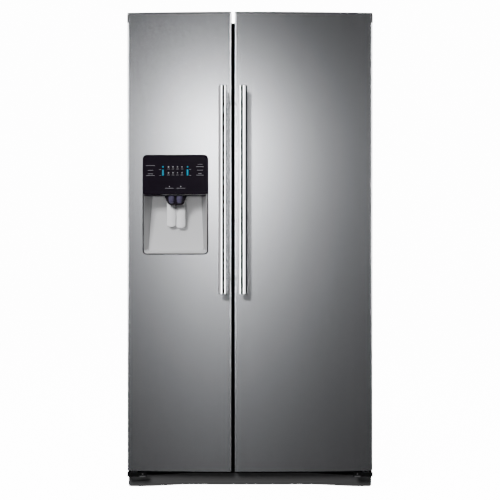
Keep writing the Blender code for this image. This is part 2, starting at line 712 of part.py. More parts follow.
def ice_machine(x):
    """The maker on its side flange, the bucket below it and the screw that pushes the ice out."""
    bucket_x, maker_z = inside(x, 0.0004), ICE_MAKER_Z
    maker = block("ice_maker", (x[0] + 0.024, x[1] - 0.016), (ICE_Y[0] + 0.175, ICE_Y[1]), maker_z, WHITE)
    flange_y, flange_z = (ICE_Y[0] + 0.215, ICE_Y[1] - 0.040), (maker_z[0] + 0.020, maker_z[1] + 0.020)
    fuse(maker, block("ice_maker_flange", (bucket_x[0], x[0] + 0.030), flange_y, flange_z))
    tray("ice_bucket", bucket_x, ICE_Y, ICE_BUCKET_Z, CLEAR)

    axis_x, steps = sum(x) / 2, 10 * AUGER_TURNS
    start, end = ICE_Y[0] + 0.030, ICE_Y[1] - 0.025
    spiral = []
    for i in range(steps + 1):
        angle = 2 * math.pi * AUGER_TURNS * i / steps
        across, up = AUGER_REACH * math.cos(angle), AUGER_REACH * math.sin(angle)
        spiral.append((axis_x + across, start + (end - start) * i / steps, AUGER_Z + up))
    spiral.append((axis_x, end + 0.013, AUGER_Z))
    auger = tube("ice_auger", spiral, AUGER_WIRE, ZINC)
    ride(pivot("ice_auger_axis", (axis_x, 0.0, AUGER_Z)), auger)


# ---- hinges ----
def hinges(side):
    word = NAMES[side]
    axis_x = side * HINGE_X

    plate_z = (CASE_TOP + FIT, CASE_TOP + FIT + 0.004)
    plate_x, plate_y = ordered(side * 0.385, side * PLATE_X), (CASE_FRONT + 0.010, CASE_FRONT + 0.095)
    top = block(f"{word}_top_hinge", plate_x, plate_y, plate_z, ZINC)
    arm_x = (axis_x - TOP_ARM, axis_x + TOP_ARM)
    arm_z = inside(plate_z, 0.0002)
    fuse(top, block(f"{word}_top_arm", arm_x, (HINGE_Y, CASE_FRONT + 0.020), arm_z))
    eye_z = sum(plate_z) / 2
    fuse(top, cylinder(f"{word}_top_eye", TOP_EYE, 0.0038, (axis_x, HINGE_Y, eye_z), "Z"))
    pin_low = BLOCK_BOTTOM + 0.001
    pin_at = (axis_x, HINGE_Y, (pin_low + eye_z) / 2)
    fuse(top, cylinder(f"{word}_top_pin", PIN_RADIUS, eye_z - pin_low, pin_at, "Z"))

    cover_x = ordered(side * COVER_INNER, side * (CASE_SIDE - 0.0015))
    cover_y = (CASE_FRONT + 0.003, CASE_FRONT + 0.125)
    cover = block(f"{word}_hinge_cover", cover_x, cover_y, (CASE_TOP + FIT, COVER_TOP), CHARCOAL)
    room_x, room_y = inside(cover_x, COVER_WALL), inside(cover_y, COVER_WALL)
    slot_x, slot_y = (arm_x[0] - 0.004, arm_x[1] + 0.004), (cover_y[0] - 0.01, cover_y[0] + 0.01)
    cut(
        cover,
        block(f"{word}_cover_inside", room_x, room_y, (CASE_TOP - 0.01, COVER_TOP - COVER_WALL)),
        block(f"{word}_cover_slot", slot_x, slot_y, (CASE_TOP - 0.01, CASE_TOP + 0.009)),
    )

    low_z = (PAN_Z[0] - FIT - 0.0032, PAN_Z[0] - FIT)
    plate_x, plate_y = ordered(side * 0.395, side * PLATE_X), (CASE_FRONT + 0.004, CASE_FRONT + 0.045)
    bottom = block(f"{word}_bottom_hinge", plate_x, plate_y, low_z, ZINC)
    arm_x, arm_z = (axis_x - LOW_ARM, axis_x + LOW_ARM), inside(low_z, 0.0002)
    fuse(bottom, block(f"{word}_bottom_arm", arm_x, (HINGE_Y, CASE_FRONT + 0.010), arm_z))
    low_mid = sum(low_z) / 2
    fuse(bottom, cylinder(f"{word}_bottom_eye", LOW_ARM, 0.0028, (axis_x, HINGE_Y, low_mid), "Z"))
    pin_top = DOOR_BOTTOM + 0.015
    pin_at = (axis_x, HINGE_Y, (pin_top + low_mid) / 2)
    fuse(bottom, cylinder(f"{word}_bottom_pin", PIN_RADIUS, pin_top - low_mid, pin_at, "Z"))


# ---- doors ----
def door(side):
    word, x = NAMES[side], DOOR_X[side]
    outer = x[0] if side < 0 else x[1]
    inward = -side
    sheet_back = DOOR_BACK - LINER - FIT
    hinge = (side * HINGE_X, HINGE_Y)

    def band(near, far):
        """(low, high) in x, measured inward from the door's outer side."""
        return ordered(outer + inward * near, outer + inward * far)

    shell = bowed_shell(x, sheet_back, SKIN)
    skin = prism(f"{word}_door_skin", shell, (DOOR_BOTTOM, PLATE_TOP - FIT), "Z", STEEL)
    floor = bowed_outline(x, sheet_back - 0.0002, SKIN / 2)
    fuse(skin, prism(f"{word}_door_floor", floor, (DOOR_BOTTOM + 0.0002, DOOR_BOTTOM + 0.002), "Z"))
    hole_at = (*hinge, DOOR_BOTTOM)
    cut(skin, cylinder(f"{word}_lower_hole", PIN_HOLE, 0.02, hole_at, "Z"))
    notch_y = (HINGE_Y - NOTCH_REACH, DOOR_BACK + 0.02)
    cut(skin, block(f"{word}_notch", band(-0.01, 0.004), notch_y, (BLOCK_BOTTOM - FIT, DOOR_TOP)))

    cap = prism(f"{word}_door_top_cap", bowed_outline(x, DOOR_BACK), (PLATE_TOP, DOOR_TOP), "Z", CHARCOAL)
    body = bowed_outline(x, sheet_back, SKIN + FIT)
    fuse(cap, prism(f"{word}_cap_body", body, (BLOCK_BOTTOM, PLATE_TOP + 0.002), "Z"))
    room = band(POCKET_INNER + 0.003, 1.0)
    cut(
        cap,
        block(f"{word}_cap_room", room, (-0.5, -0.2), (BLOCK_BOTTOM - 0.01, PLATE_TOP - 0.0005)),
        block(f"{word}_pocket", band(-0.01, POCKET_INNER), notch_y, (POCKET_FLOOR, DOOR_TOP + 0.01)),
        cylinder(f"{word}_upper_hole", PIN_HOLE, 0.03, (*hinge, POCKET_FLOOR), "Z"),
    )

    dike_x, dike_z = inside(INSIDE_X[side], DIKE_GAP), inside((INSIDE_BOTTOM, INSIDE_TOP), DIKE_GAP)
    sheet_z = (DOOR_BOTTOM + 0.004, PLATE_TOP - FIT)
    panel = block(f"{word}_door_liner", inside(x, 0.003), (DOOR_BACK - LINER, DOOR_BACK), sheet_z, WHITE)
    dike = block(f"{word}_dike", dike_x, (DOOR_BACK - 0.001, DIKE_BACK), dike_z)
    hollow_x, hollow_z = inside(dike_x, DIKE_WALL), inside(dike_z, DIKE_WALL)
    hollow = block(f"{word}_dike_inside", hollow_x, (DOOR_BACK, DIKE_BACK + 0.05), hollow_z)
    fuse(panel, dike)
    cut(panel, hollow)
    corner_x, corner_z = band(-0.01, POCKET_INNER + 0.004), (BLOCK_BOTTOM - FIT, DOOR_TOP)
    cut(panel, block(f"{word}_corner", corner_x, (DOOR_BACK - 0.047, DOOR_BACK + 0.023), corner_z))

    free = sum(x) - outer
    seal_x = ordered(outer + inward * SEAL_EDGE["hinge"], free - inward * SEAL_EDGE["free"])
    seal_y = (DOOR_BACK + FIT, CASE_FRONT - FIT)
    seal = block(f"{word}_door_gasket", seal_x, seal_y, SEAL_Z, RUBBER)
    open_y = (seal_y[0] - 0.01, seal_y[1] + 0.01)
    cut(seal, block(f"{word}_seal_inside", inside(seal_x, SEAL_WIDTH), open_y, inside(SEAL_Z, SEAL_WIDTH)))

    bar_x = DOOR_GAP_X + side * HANDLE_OFFSET
    bar_y = -DEPTH / 2 + HANDLE_THICK / 2
    length, middle = HANDLE_Z[1] - HANDLE_Z[0], sum(HANDLE_Z) / 2
    bar = cylinder(f"{word}_handle", HANDLE_WIDTH / 2, length, (bar_x, bar_y, middle), "Z", BRIGHT)
    bar.scale.y = HANDLE_THICK / HANDLE_WIDTH
    bpy.ops.object.transform_apply(location=False, rotation=False, scale=True)
    foot = front_y(bar_x) - FIT
    for end in inside(HANDLE_Z, POST_INSET):
        post_at = (bar_x, (bar_y + foot) / 2, end)
        fuse(bar, cylinder(f"{word}_post_{end:.2f}", POST_RADIUS, foot - bar_y, post_at, "Y", sides=16))

    axis = pivot(f"{word}_door_hinge", (*hinge, 0.0))
    ride(axis, skin, cap, panel, seal, bar)
    return axis, skin, panel


def door_bins(side, axis):
    for name, (bin_side, z) in DOOR_BINS.items():
        if bin_side == side:
            ride(axis, tray(name, inside(INSIDE_X[side], BIN_EDGE), (DOOR_BACK + FIT, BIN_BACK), z, CLEAR))


def bowed_strip(name, x, z, near, far, material):
    """A plate that follows the front of the doors, between near and far behind it."""
    across = [x[0] + (x[1] - x[0]) * step / 8 for step in range(9)]
    outline = [(a, front_y(a) + near) for a in across] + [(a, front_y(a) + far) for a in across[::-1]]
    return prism(name, outline, z, "Z", material)


def dispenser(axis, skin, panel):
    x, z, mid, wall = DISPENSER_X, DISPENSER_Z, DISPENSER_MID, DISPENSER_WALL
    outside = CROWN_Y - 0.033
    hole_x, hole_z = inside(x, DISPENSER_RIM), inside(z, DISPENSER_RIM)
    cut(skin, block("dispenser_hole", hole_x, (outside, CROWN_Y + 0.047), hole_z))

    housing = bowed_strip("dispenser_housing", x, z, -FRAME_PROUD, -FRAME_BACK, SILVER)
    body_x, body_z = inside(hole_x, FIT), inside(hole_z, FIT)
    body_back = ALCOVE_BACK + wall
    trunk = [(body_x[0], body_back), (body_x[0], front_y(body_x[0]) - 0.001)]
    trunk += [(body_x[1], front_y(body_x[1]) - 0.001), (body_x[1], body_back)]
    fuse(housing, prism("dispenser_trunk", trunk, body_z, "Z"))
    wide = inside(body_x, wall)
    ceiling = PANEL_BOTTOM - wall
    height = (body_z[0] + 2 * wall, ceiling)

    def around(half):
        return (mid - half, mid + half)

    alcove = tapered_block(
        "alcove",
        (wide, wide, height),
        (around(ALCOVE_TOP_HALF), around(ALCOVE_LOW_HALF), height),
        (outside, ALCOVE_BACK, ALCOVE_BACK_LOW),
    )
    electronics_z = (PANEL_BOTTOM + wall, body_z[1] - wall)
    cut(housing, alcove, block("electronics_room", wide, (outside, DOOR_BACK + 0.003), electronics_z))

    # the bulge of the inner panel that takes the back of the housing
    bulge = block(
        "dispenser_bulge",
        inside(body_x, -FIT - wall),
        (DOOR_BACK - 0.001, body_back + FIT + wall),
        inside(body_z, -FIT - wall),
    )
    hollow_y = (DOOR_BACK - 0.02, body_back + FIT)
    hollow = block("bulge_inside", inside(body_x, -FIT), hollow_y, inside(body_z, -FIT))
    fuse(panel, bulge)
    cut(panel, hollow)
    ride(axis, bulge, hollow, skin.modifiers[-1].object)

    face_x, face_z = inside(x, 0.0005), (PANEL_BOTTOM, z[1])
    face = bowed_strip("dispenser_panel", face_x, face_z, -PANEL_PROUD, -PANEL_BACK, BLACK)

    spout_z = (SPOUT_Z, ceiling - FIT)
    spout = tapered_block(
        "dispenser_spout",
        (around(0.0415), around(0.028), spout_z),
        (around(0.0400), around(0.027), spout_z),
        (SPOUT_Y[0], SPOUT_Y[1], SPOUT_Y[1]),
    )
    spout.data.materials.append(BLACK)
    ride(axis, housing, face, spout)

    for name, side in (("water_lever", -1), ("ice_lever", 1)):
        pivot_at = (mid + side * LEVER_OFFSET, *LEVER_PIVOT)
        across = (pivot_at[0] - LEVER_HALF, pivot_at[0] + LEVER_HALF)
        lever = block(name, across, LEVER_Y, (LEVER_BOTTOM, pivot_at[2] + 0.002), SILVER)
        fuse(lever, cylinder(name + "_hub", 0.005, 2 * LEVER_HALF, pivot_at, "X", sides=16))
        turn = pivot(name + "_axis", pivot_at)
        ride(turn, lever)
        hang(turn, axis)


def dairy_flap(axis):
    """The flap in front of the dairy bin, hinged along its top."""
    across = inside(INSIDE_X[1], BIN_EDGE + 0.002)
    near = BIN_BACK + 0.0008
    low, high = DOOR_BINS["dairy_bin"][1]
    flap = block("dairy_flap", across, (near, near + FLAP_THICK), (low + 0.004, high + 0.004), CLEAR)
    hinge = (sum(across) / 2, near + FLAP_THICK / 2, high + 0.006)
    length = across[1] - across[0] - 0.004
    fuse(flap, cylinder("dairy_knuckle", FLAP_KNUCKLE, length, hinge, "X", sides=12))
    turn = pivot("dairy_flap_axis", hinge)
    ride(turn, flap)
    hang(turn, axis)


def build():
    case_panels()
    base_plate()
    machine_room()
    fan("condenser_fan", CONDENSER_FAN, "X", 0.062, 0.020)
    kick_plate()
    feet()
    for side in (-1, 1):
        liner(side)
        hinges(side)
    mullion()
    fridge_inside()
    freezer_inside()

    axis, skin, panel = door(-1)
    dispenser(axis, skin, panel)
    door_bins(-1, axis)

    axis, _, _ = door(1)
    door_bins(1, axis)
    dairy_flap(axis)


build()
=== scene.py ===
"""Looks of the side-by-side refrigerator: surfaces, materials, light and camera, built round the frame.

Metres, in the part's own frame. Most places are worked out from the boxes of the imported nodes.
"""

import json
import math

import bmesh
import bpy
from mathutils import Matrix, Vector

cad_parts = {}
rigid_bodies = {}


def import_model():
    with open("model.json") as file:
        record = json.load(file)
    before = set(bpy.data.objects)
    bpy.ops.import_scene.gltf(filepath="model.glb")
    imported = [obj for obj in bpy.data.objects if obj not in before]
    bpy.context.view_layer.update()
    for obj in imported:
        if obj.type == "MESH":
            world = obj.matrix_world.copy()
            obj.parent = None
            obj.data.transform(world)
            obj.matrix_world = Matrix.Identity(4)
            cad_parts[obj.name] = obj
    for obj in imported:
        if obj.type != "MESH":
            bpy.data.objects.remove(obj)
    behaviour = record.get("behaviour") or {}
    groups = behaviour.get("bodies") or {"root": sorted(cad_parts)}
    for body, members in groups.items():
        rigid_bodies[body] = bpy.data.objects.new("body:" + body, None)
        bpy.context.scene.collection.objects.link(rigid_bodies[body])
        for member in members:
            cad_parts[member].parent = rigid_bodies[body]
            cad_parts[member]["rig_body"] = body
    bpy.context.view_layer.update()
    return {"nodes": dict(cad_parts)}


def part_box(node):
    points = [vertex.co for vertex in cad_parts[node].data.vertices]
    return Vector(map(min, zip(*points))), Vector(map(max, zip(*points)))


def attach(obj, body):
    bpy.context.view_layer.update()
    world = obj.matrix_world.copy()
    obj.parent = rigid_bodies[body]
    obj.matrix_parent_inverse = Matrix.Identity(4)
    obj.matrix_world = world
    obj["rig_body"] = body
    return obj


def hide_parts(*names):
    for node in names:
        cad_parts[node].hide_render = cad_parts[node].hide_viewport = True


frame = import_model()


# ---- places from the frame ----
SIDES = ("freezer", "fridge")
SKIN = {side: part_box(f"{side}_door_skin") for side in SIDES}
CAP = {side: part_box(f"{side}_door_top_cap") for side in SIDES}
HANDLE = {side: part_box(f"{side}_handle") for side in SIDES}
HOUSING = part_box("dispenser_housing")
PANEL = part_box("dispenser_panel")
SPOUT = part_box("dispenser_spout")
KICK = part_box("kick_plate")

HALF_WIDTH = SKIN["fridge"][1].x
CROWN = min(SKIN[side][0].y for side in SIDES)  # the foremost line of the bowed doors
DOOR_TOP = CAP["fridge"][1].z
DISPENSER_MID = (HOUSING[0].x + HOUSING[1].x) / 2
PANEL_SEAM = PANEL[0].z


# ---- sizes of the doors and their handles ----
BOW = 0.022  # how far the front falls back from the middle to the sides
BOW_RADIUS = (HALF_WIDTH**2 + BOW**2) / (2 * BOW)
BOW_SPANS = 48
CORNER = 0.008  # radius of the upright edges
SHEET = 0.0012  # thickness of the steel
SKIN_INSET = 0.0009  # the sheet lies this far inside the cap's skirt
SKIN_LIFT = 0.005  # the sheet ends this far above the door's lowest point
OPENING_INSET, OPENING_CORNER = 0.004, 0.012  # the hole for the dispenser, inside its housing's edge
SKIRT_WIDTH = 0.0065
SKIRT_NOTCH = 0.02  # deeper than the skirt, so that the notch cuts right through it
NOTCH_Y = (-0.3615, -0.283)  # the side opening of a door's hinge pocket, which the hinge arm turns in
NOTCH_DEPTH = 0.004
NOTCH_Z = CAP["fridge"][0].z - 0.0003
POCKET_FLOOR = 1.742
BAR_HALF_DEPTH = 0.011
BAR_SIDES, POST_SIDES = 64, 40
POST_RADIUS, COLLAR_RADIUS = 0.008, 0.0105
POST_INSET = 0.055  # from an end of the bar to the middle of its post


# ---- sizes of the kick plate and the covers of the lower hinges ----
KICK_SETBACK = 0.035  # from the doors' front to the plate's
KICK_CORNER = 0.012  # radius of its upright edges
KICK_RISE = 0.010  # how much higher its lower edge is in the middle
KICK_ARCH = (0.20, 0.43)  # how far from the middle that rise starts to fade, and ends
KICK_DROP = 0.0105  # how much its upper edge falls at the ends
KICK_FALL = (0.16, 0.40)  # how far from the middle the fall starts and ends
KICK_RAISE = 0.0015  # its lower edge lies this far above the CAD's
KICK_ROUND = 0.008  # radius of its lower corners
KICK_WALL = 0.0025
BRACKET_INNER = 0.383  # from the middle to the bracket's inner end
BRACKET_WALL = 0.002
TAB_X, TAB_HALF = 0.398, 0.011
SCREW_RADIUS = 0.0026


# ---- sizes inside ----
LINER_WALL = 0.0025
LAMP_HALF = 0.045


def front_y(x):
    """The bowed front of the doors."""
    return CROWN + BOW_RADIUS - math.sqrt(BOW_RADIUS**2 - x * x)


# ---- materials ----
NOISE_SPAN = (0.3, 0.7)  # where most of the noise lies


def new_material(name):
    """A material, with its node tree and its shader."""
    material = bpy.data.materials.new(name)
    material.use_nodes = True
    tree = material.node_tree
    return material, tree, tree.nodes["Principled BSDF"]


def object_noise(tree, scale, stretch=(1.0, 1.0, 1.0)):
    """Noise fixed to the piece, stretched along its axes."""
    place = tree.nodes.new("ShaderNodeTexCoord")
    mapping = tree.nodes.new("ShaderNodeMapping")
    mapping.inputs["Scale"].default_value = stretch
    noise = tree.nodes.new("ShaderNodeTexNoise")
    noise.inputs["Scale"].default_value = scale
    noise.inputs["Detail"].default_value = 4.0
    tree.links.new(place.outputs["Object"], mapping.inputs["Vector"])
    tree.links.new(mapping.outputs["Vector"], noise.inputs["Vector"])
    return noise.outputs["Fac"]


def ramp_colour(tree, factor, low, high):
    """A colour between two, chosen by a factor."""
    ramp = tree.nodes.new("ShaderNodeValToRGB")
    ramp.color_ramp.elements[0].position = NOISE_SPAN[0]
    ramp.color_ramp.elements[1].position = NOISE_SPAN[1]
    ramp.color_ramp.elements[0].color = (*low, 1)
    ramp.color_ramp.elements[1].color = (*high, 1)
    tree.links.new(factor, ramp.inputs["Fac"])
    return ramp.outputs["Color"]


def ranged(tree, factor, low, high):
    """A number between two, chosen by a factor."""
    spread = tree.nodes.new("ShaderNodeMapRange")
    spread.inputs["From Min"].default_value = NOISE_SPAN[0]
    spread.inputs["From Max"].default_value = NOISE_SPAN[1]
    spread.inputs["To Min"].default_value = low
    spread.inputs["To Max"].default_value = high
    tree.links.new(factor, spread.inputs["Value"])
    return spread.outputs["Result"]


def bump(tree, shader, factor, distance):
    """Fine bumps of this height."""
    node = tree.nodes.new("ShaderNodeBump")
    node.inputs["Strength"].default_value = 0.4
    node.inputs["Distance"].default_value = distance
    tree.links.new(factor, node.inputs["Height"])
    tree.links.new(node.outputs["Normal"], shader.inputs["Normal"])


def surface(name, low, high, rough, scale, metallic=0.0, stretch=(1.0, 1.0, 1.0), relief=0.0, **constants):
    """A material whose colour and roughness vary with noise.

    low and high are its colours, rough its (least, most) roughness and scale the noise's scale.
    """
    material, tree, shader = new_material(name)
    factor = object_noise(tree, scale, stretch)
    tree.links.new(ramp_colour(tree, factor, low, high), shader.inputs["Base Color"])
    tree.links.new(ranged(tree, factor, *rough), shader.inputs["Roughness"])
    shader.inputs["Metallic"].default_value = metallic
    for socket, value in constants.items():
        shader.inputs[socket.replace("_", " ")].default_value = value
    if relief:
        bump(tree, shader, factor, relief)
    return material


def grey(value):
    """A grey, a little on the blue side."""
    return (value, value, value + 0.02 * value)


GRAIN = (1.0, 1.0, 0.006)  # brushed up and down
STEEL = surface(
    "brushed_steel", (0.595, 0.605, 0.635), (0.675, 0.685, 0.715), (0.22, 0.27), 900, 0.86, GRAIN
)
BAR_STEEL = surface("handle_steel", grey(0.82), grey(0.88), (0.05, 0.08), 700, 1.0, GRAIN)
ZINC = surface("zinc_steel", grey(0.50), grey(0.66), (0.30, 0.45), 60, 0.55)
# a darker copy of the zinc: painted shade, so the lower hinges, their tabs and screws read dim under the
# front light
SHADED_ZINC = surface("zinc_painted_shade", grey(0.16), grey(0.21), (0.30, 0.45), 60, 0.55)
PAINT = surface("case_paint", grey(0.085), grey(0.10), (0.42, 0.52), 900, relief=0.00012)
BLACK_PAINT = surface("compressor_paint", grey(0.012), grey(0.02), (0.30, 0.42), 40)
COPPER = surface("copper_tube", (0.62, 0.28, 0.15), (0.78, 0.42, 0.26), (0.25, 0.38), 120, 1.0)
WHITE = surface("liner_plastic", grey(0.78), grey(0.82), (0.30, 0.38), 14)
CHARCOAL = surface("charcoal_plastic", grey(0.030), grey(0.038), (0.42, 0.55), 1600, relief=0.00003)
KICK_PLASTIC = surface("kick_plastic", grey(0.060), grey(0.072), (0.38, 0.48), 1600, relief=0.00002)
CAP_PLASTIC = surface("cap_plastic", grey(0.045), grey(0.055), (0.38, 0.48), 1600, relief=0.00002)
BLACK = surface(
    "panel_gloss", (0.0070, 0.0050, 0.0085), (0.0085, 0.0062, 0.0105), (0.10, 0.16), 30,
    Specular_IOR_Level=0.05,
)
# near-black: real black plastic for the hubs, and painted shade in the gaps, round the dispenser and under
# the case
DARK = surface("black_plastic_and_painted_shade", grey(0.004), grey(0.006), (0.7, 0.8), 400, Specular_IOR_Level=0.1)
NOZZLE = surface("nozzle_plastic", (0.05, 0.045, 0.08), (0.08, 0.07, 0.12), (0.12, 0.20), 90)
SILVER = surface("silver_plastic", grey(0.46), grey(0.50), (0.34, 0.42), 1400, 0.12)
# a darker copy of the silver for the alcove's side walls: painted shade
SILVER_SHADED_WALL = surface("silver_painted_shade", grey(0.30), grey(0.33), (0.34, 0.42), 1400, 0.12)
PADDLE = surface("paddle_plastic", grey(0.80), grey(0.84), (0.26, 0.34), 300)
SEAL = surface("seal_rubber", grey(0.20), grey(0.25), (0.60, 0.72), 500, relief=0.00005)
GLASS = surface(
    "shelf_glass", (0.80, 0.92, 0.89), (0.84, 0.95, 0.92), (0.02, 0.05), 20,
    Transmission_Weight=0.92, IOR=1.5,
)
CLEAR = surface(
    "clear_plastic", (0.90, 0.95, 0.97), (0.94, 0.98, 0.99), (0.05, 0.10), 25,
    Transmission_Weight=0.85, IOR=1.49,
)


def glow(name, colour, strength):
    """A lit mark, with a slight unevenness across it."""
    material, tree, shader = new_material(name)
    factor = object_noise(tree, 400)
    dim = tuple(channel * 0.8 for channel in colour)
    tree.links.new(ramp_colour(tree, factor, dim, colour), shader.inputs["Emission Color"])
    shader.inputs["Emission Strength"].default_value = strength
    shader.inputs["Base Color"].default_value = (*colour, 1)
    return material


CYAN = glow("lit_cyan", (0.0, 0.20, 0.32), 0.08)
LAMP = glow("lamp_white", (0.90, 0.90, 0.88), 0.5)
MARK = glow("lit_white", (0.26, 0.26, 0.28), 0.04)


# ---- shapes ----
SHARP_ANGLE = math.radians(35)


def shaded(obj):
    """Smooth shading that keeps sharp edges sharp."""
    obj.data.shade_smooth()
    obj.data.set_sharp_from_angle(angle=SHARP_ANGLE)
    return obj


def add_object(name, mesh, material, body):
    """A piece that rides a body, with its material."""
    obj = bpy.data.objects.new(name, mesh)
    bpy.context.scene.collection.objects.link(obj)
    obj.data.materials.append(material)
    shaded(obj)
    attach(obj, body)
    return obj


def mesh_of(name, shape):
    """The mesh of a finished bmesh, with its faces turned outwards."""
    bmesh.ops.recalc_face_normals(shape, faces=shape.faces)
    mesh = bpy.data.meshes.new(name)
    shape.to_mesh(mesh)
    shape.free()
    return mesh


def extruded(name, outline, span, axis):
    """A mesh of a flat outline drawn out along an axis.

    The outline's points are (x, y) along Z, (y, z) along X and (x, z) along Y.
    """
    place = {
        "X": lambda u, v, w: (w, u, v),
        "Y": lambda u, v, w: (u, w, v),
        "Z": lambda u, v, w: (u, v, w),
    }[axis]
    shape = bmesh.new()
    face = shape.faces.new([shape.verts.new(place(u, v, span[0])) for u, v in outline])
    moved = bmesh.ops.extrude_face_region(shape, geom=[face])["geom"]
    shift = Vector(place(0, 0, span[1] - span[0]))
    verts = [part for part in moved if isinstance(part, bmesh.types.BMVert)]
    bmesh.ops.translate(shape, vec=shift, verts=verts)
    return mesh_of(name, shape)


def polygon(x, y, radius, sides, turn=0.0):
    """Outline of a regular polygon, or of a circle when it has many sides."""
    angles = [turn + 2 * math.pi * side / sides for side in range(sides)]
    return [(x + radius * math.cos(a), y + radius * math.sin(a)) for a in angles]


def rounded_rectangle(low, high, radius, steps=8, corners=(True, True, True, True)):
    """Outline of a rectangle with the chosen corners rounded.

    The corners are in the order bottom left, bottom right, top right, top left.
    """
    (x0, z0), (x1, z1) = low, high
    centres = ((x0, z0, 1, 1), (x1, z0, -1, 1), (x1, z1, -1, -1), (x0, z1, 1, -1))
    points = []
    for index, (x, z, right, up) in enumerate(centres):
        if not corners[index]:
            points.append((x, z))
            continue
        start = math.pi + index * math.pi / 2
        for step in range(steps + 1):
            angle = start + step * math.pi / 2 / steps
            across, along = radius * math.cos(angle), radius * math.sin(angle)
            points.append((x + right * radius + across, z + up * radius + along))
    return points


def bevelled(obj, width, segments=3, angle=35):
    """Rounds the edges that are sharper than an angle."""
    modifier = obj.modifiers.new("soft_edges", "BEVEL")
    modifier.width = width
    modifier.segments = segments
    modifier.limit_method = "ANGLE"
    modifier.angle_limit = math.radians(angle)
    modifier.harden_normals = True
    return obj


def box_mesh(name, low, high):
    """A block between two corners."""
    shape = bmesh.new()
    bmesh.ops.create_cube(shape, size=1)
    for vertex in shape.verts:
        for axis in range(3):
            vertex.co[axis] = (low[axis], high[axis])[int(vertex.co[axis] > 0)]
    return mesh_of(name, shape)


def soft_box(name, low, high, radius, material, body, slot):
    """A block with rounded edges."""
    obj = add_object(name, box_mesh(name, low, high), material, body)
    return bevelled(obj, radius, 4)


def carve(obj, cutter_mesh):
    """Cuts a mesh out of an object, and applies it."""
    tool = bpy.data.objects.new("cutter", cutter_mesh)
    bpy.context.scene.collection.objects.link(tool)
    modifier = obj.modifiers.new("cut", "BOOLEAN")
    modifier.operation = "DIFFERENCE"
    modifier.object = tool
    bpy.context.view_layer.update()
    graph = bpy.context.evaluated_depsgraph_get()
    mesh = bpy.data.meshes.new_from_object(obj.evaluated_get(graph))
    obj.modifiers.clear()
    obj.data = mesh
    bpy.data.objects.remove(tool)
    return obj


def bowed_outline(x, back, inset=0.0, corner=CORNER, setback=0.0):
    """Plan of a bowed box with round front corners, back left to back right."""
    radius = corner - inset
    points = [(x[0] + inset, back)]
    for side, start in ((x[0] + corner, math.pi), (x[1] - corner, 1.5 * math.pi)):
        if side > x[0] + corner:
            width = side - x[0] - corner
            across = [x[0] + corner + width * step / BOW_SPANS for step in range(1, BOW_SPANS)]
            points += [(a, front_y(a) + setback + inset) for a in across]
        centre_y = front_y(side) + setback + corner
        for step in range(9):
            angle = start + step * math.pi / 16
            points.append((side + radius * math.cos(angle), centre_y + radius * math.sin(angle)))
    return points + [(x[1] - inset, back)]


# ---- doors ----
def outward(side):
    """Which way along X a door's outer side is."""
    return 1 if side == "fridge" else -1


def notch_block(side, depth, bottom):
    """What the hinge pocket's side opening takes from a door: `depth` inward from the outer side."""
    out = outward(side)
    x = sorted((out * (HALF_WIDTH - depth), out * (HALF_WIDTH + 0.01)))
    return box_mesh("notch", (x[0], NOTCH_Y[0], bottom), (x[1], NOTCH_Y[1], DOOR_TOP + 0.01))


def door_skin(side):
    """Folded steel: the bowed front, both sides and a floor."""
    low, high = SKIN[side]
    body = f"{side}_door"
    x = (low.x + SKIN_INSET, high.x) if outward(side) < 0 else (low.x, high.x - SKIN_INSET)
    bottom = low.z + SKIN_LIFT
    outer = bowed_outline(x, high.y)
    inner = bowed_outline(x, high.y, SHEET)
    name = f"{side}_skin_sheet"
    sheet = extruded(name, outer + inner[::-1], (bottom, high.z), "Z")
    skin = add_object(name, sheet, STEEL, body)
    if side == "freezer":
        opening = rounded_rectangle(
            (HOUSING[0].x + OPENING_INSET, HOUSING[0].z + OPENING_INSET),
            (HOUSING[1].x - OPENING_INSET, HOUSING[1].z - OPENING_INSET),
            OPENING_CORNER,
        )
        carve(skin, extruded("dispenser_opening", opening, (low.y - 0.05, low.y + 0.06), "Y"))
        shaded(skin)
    carve(skin, notch_block(side, NOTCH_DEPTH, NOTCH_Z))
    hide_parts(f"{side}_door_skin")
    name = f"{side}_skin_floor"
    plan = bowed_outline(x, high.y, SHEET * 0.5)
    floor = extruded(name, plan, (bottom + 0.0003, bottom + 0.0020), "Z")
    add_object(name, floor, STEEL, body)
    cap_skirt(side)
    return skin


def cap_skirt(side):
    """The dark edge of a door's top cap, which hangs down beside the skin at the outer corner."""
    out = outward(side)
    x = sorted((out * (HALF_WIDTH - SKIRT_WIDTH), out * HALF_WIDTH))
    low = (x[0], front_y(HALF_WIDTH - SKIRT_WIDTH) - 0.0004, CAP[side][0].z)
    high = (x[1], CAP[side][1].y - 0.008, SKIN[side][1].z - 0.0004)
    name, slot = f"{side}_cap_skirt", "charcoal_plastic"
    skirt = soft_box(name, low, high, 0.0008, CAP_PLASTIC, f"{side}_door", slot)
    carve(skirt, notch_block(side, SKIRT_NOTCH, POCKET_FLOOR))


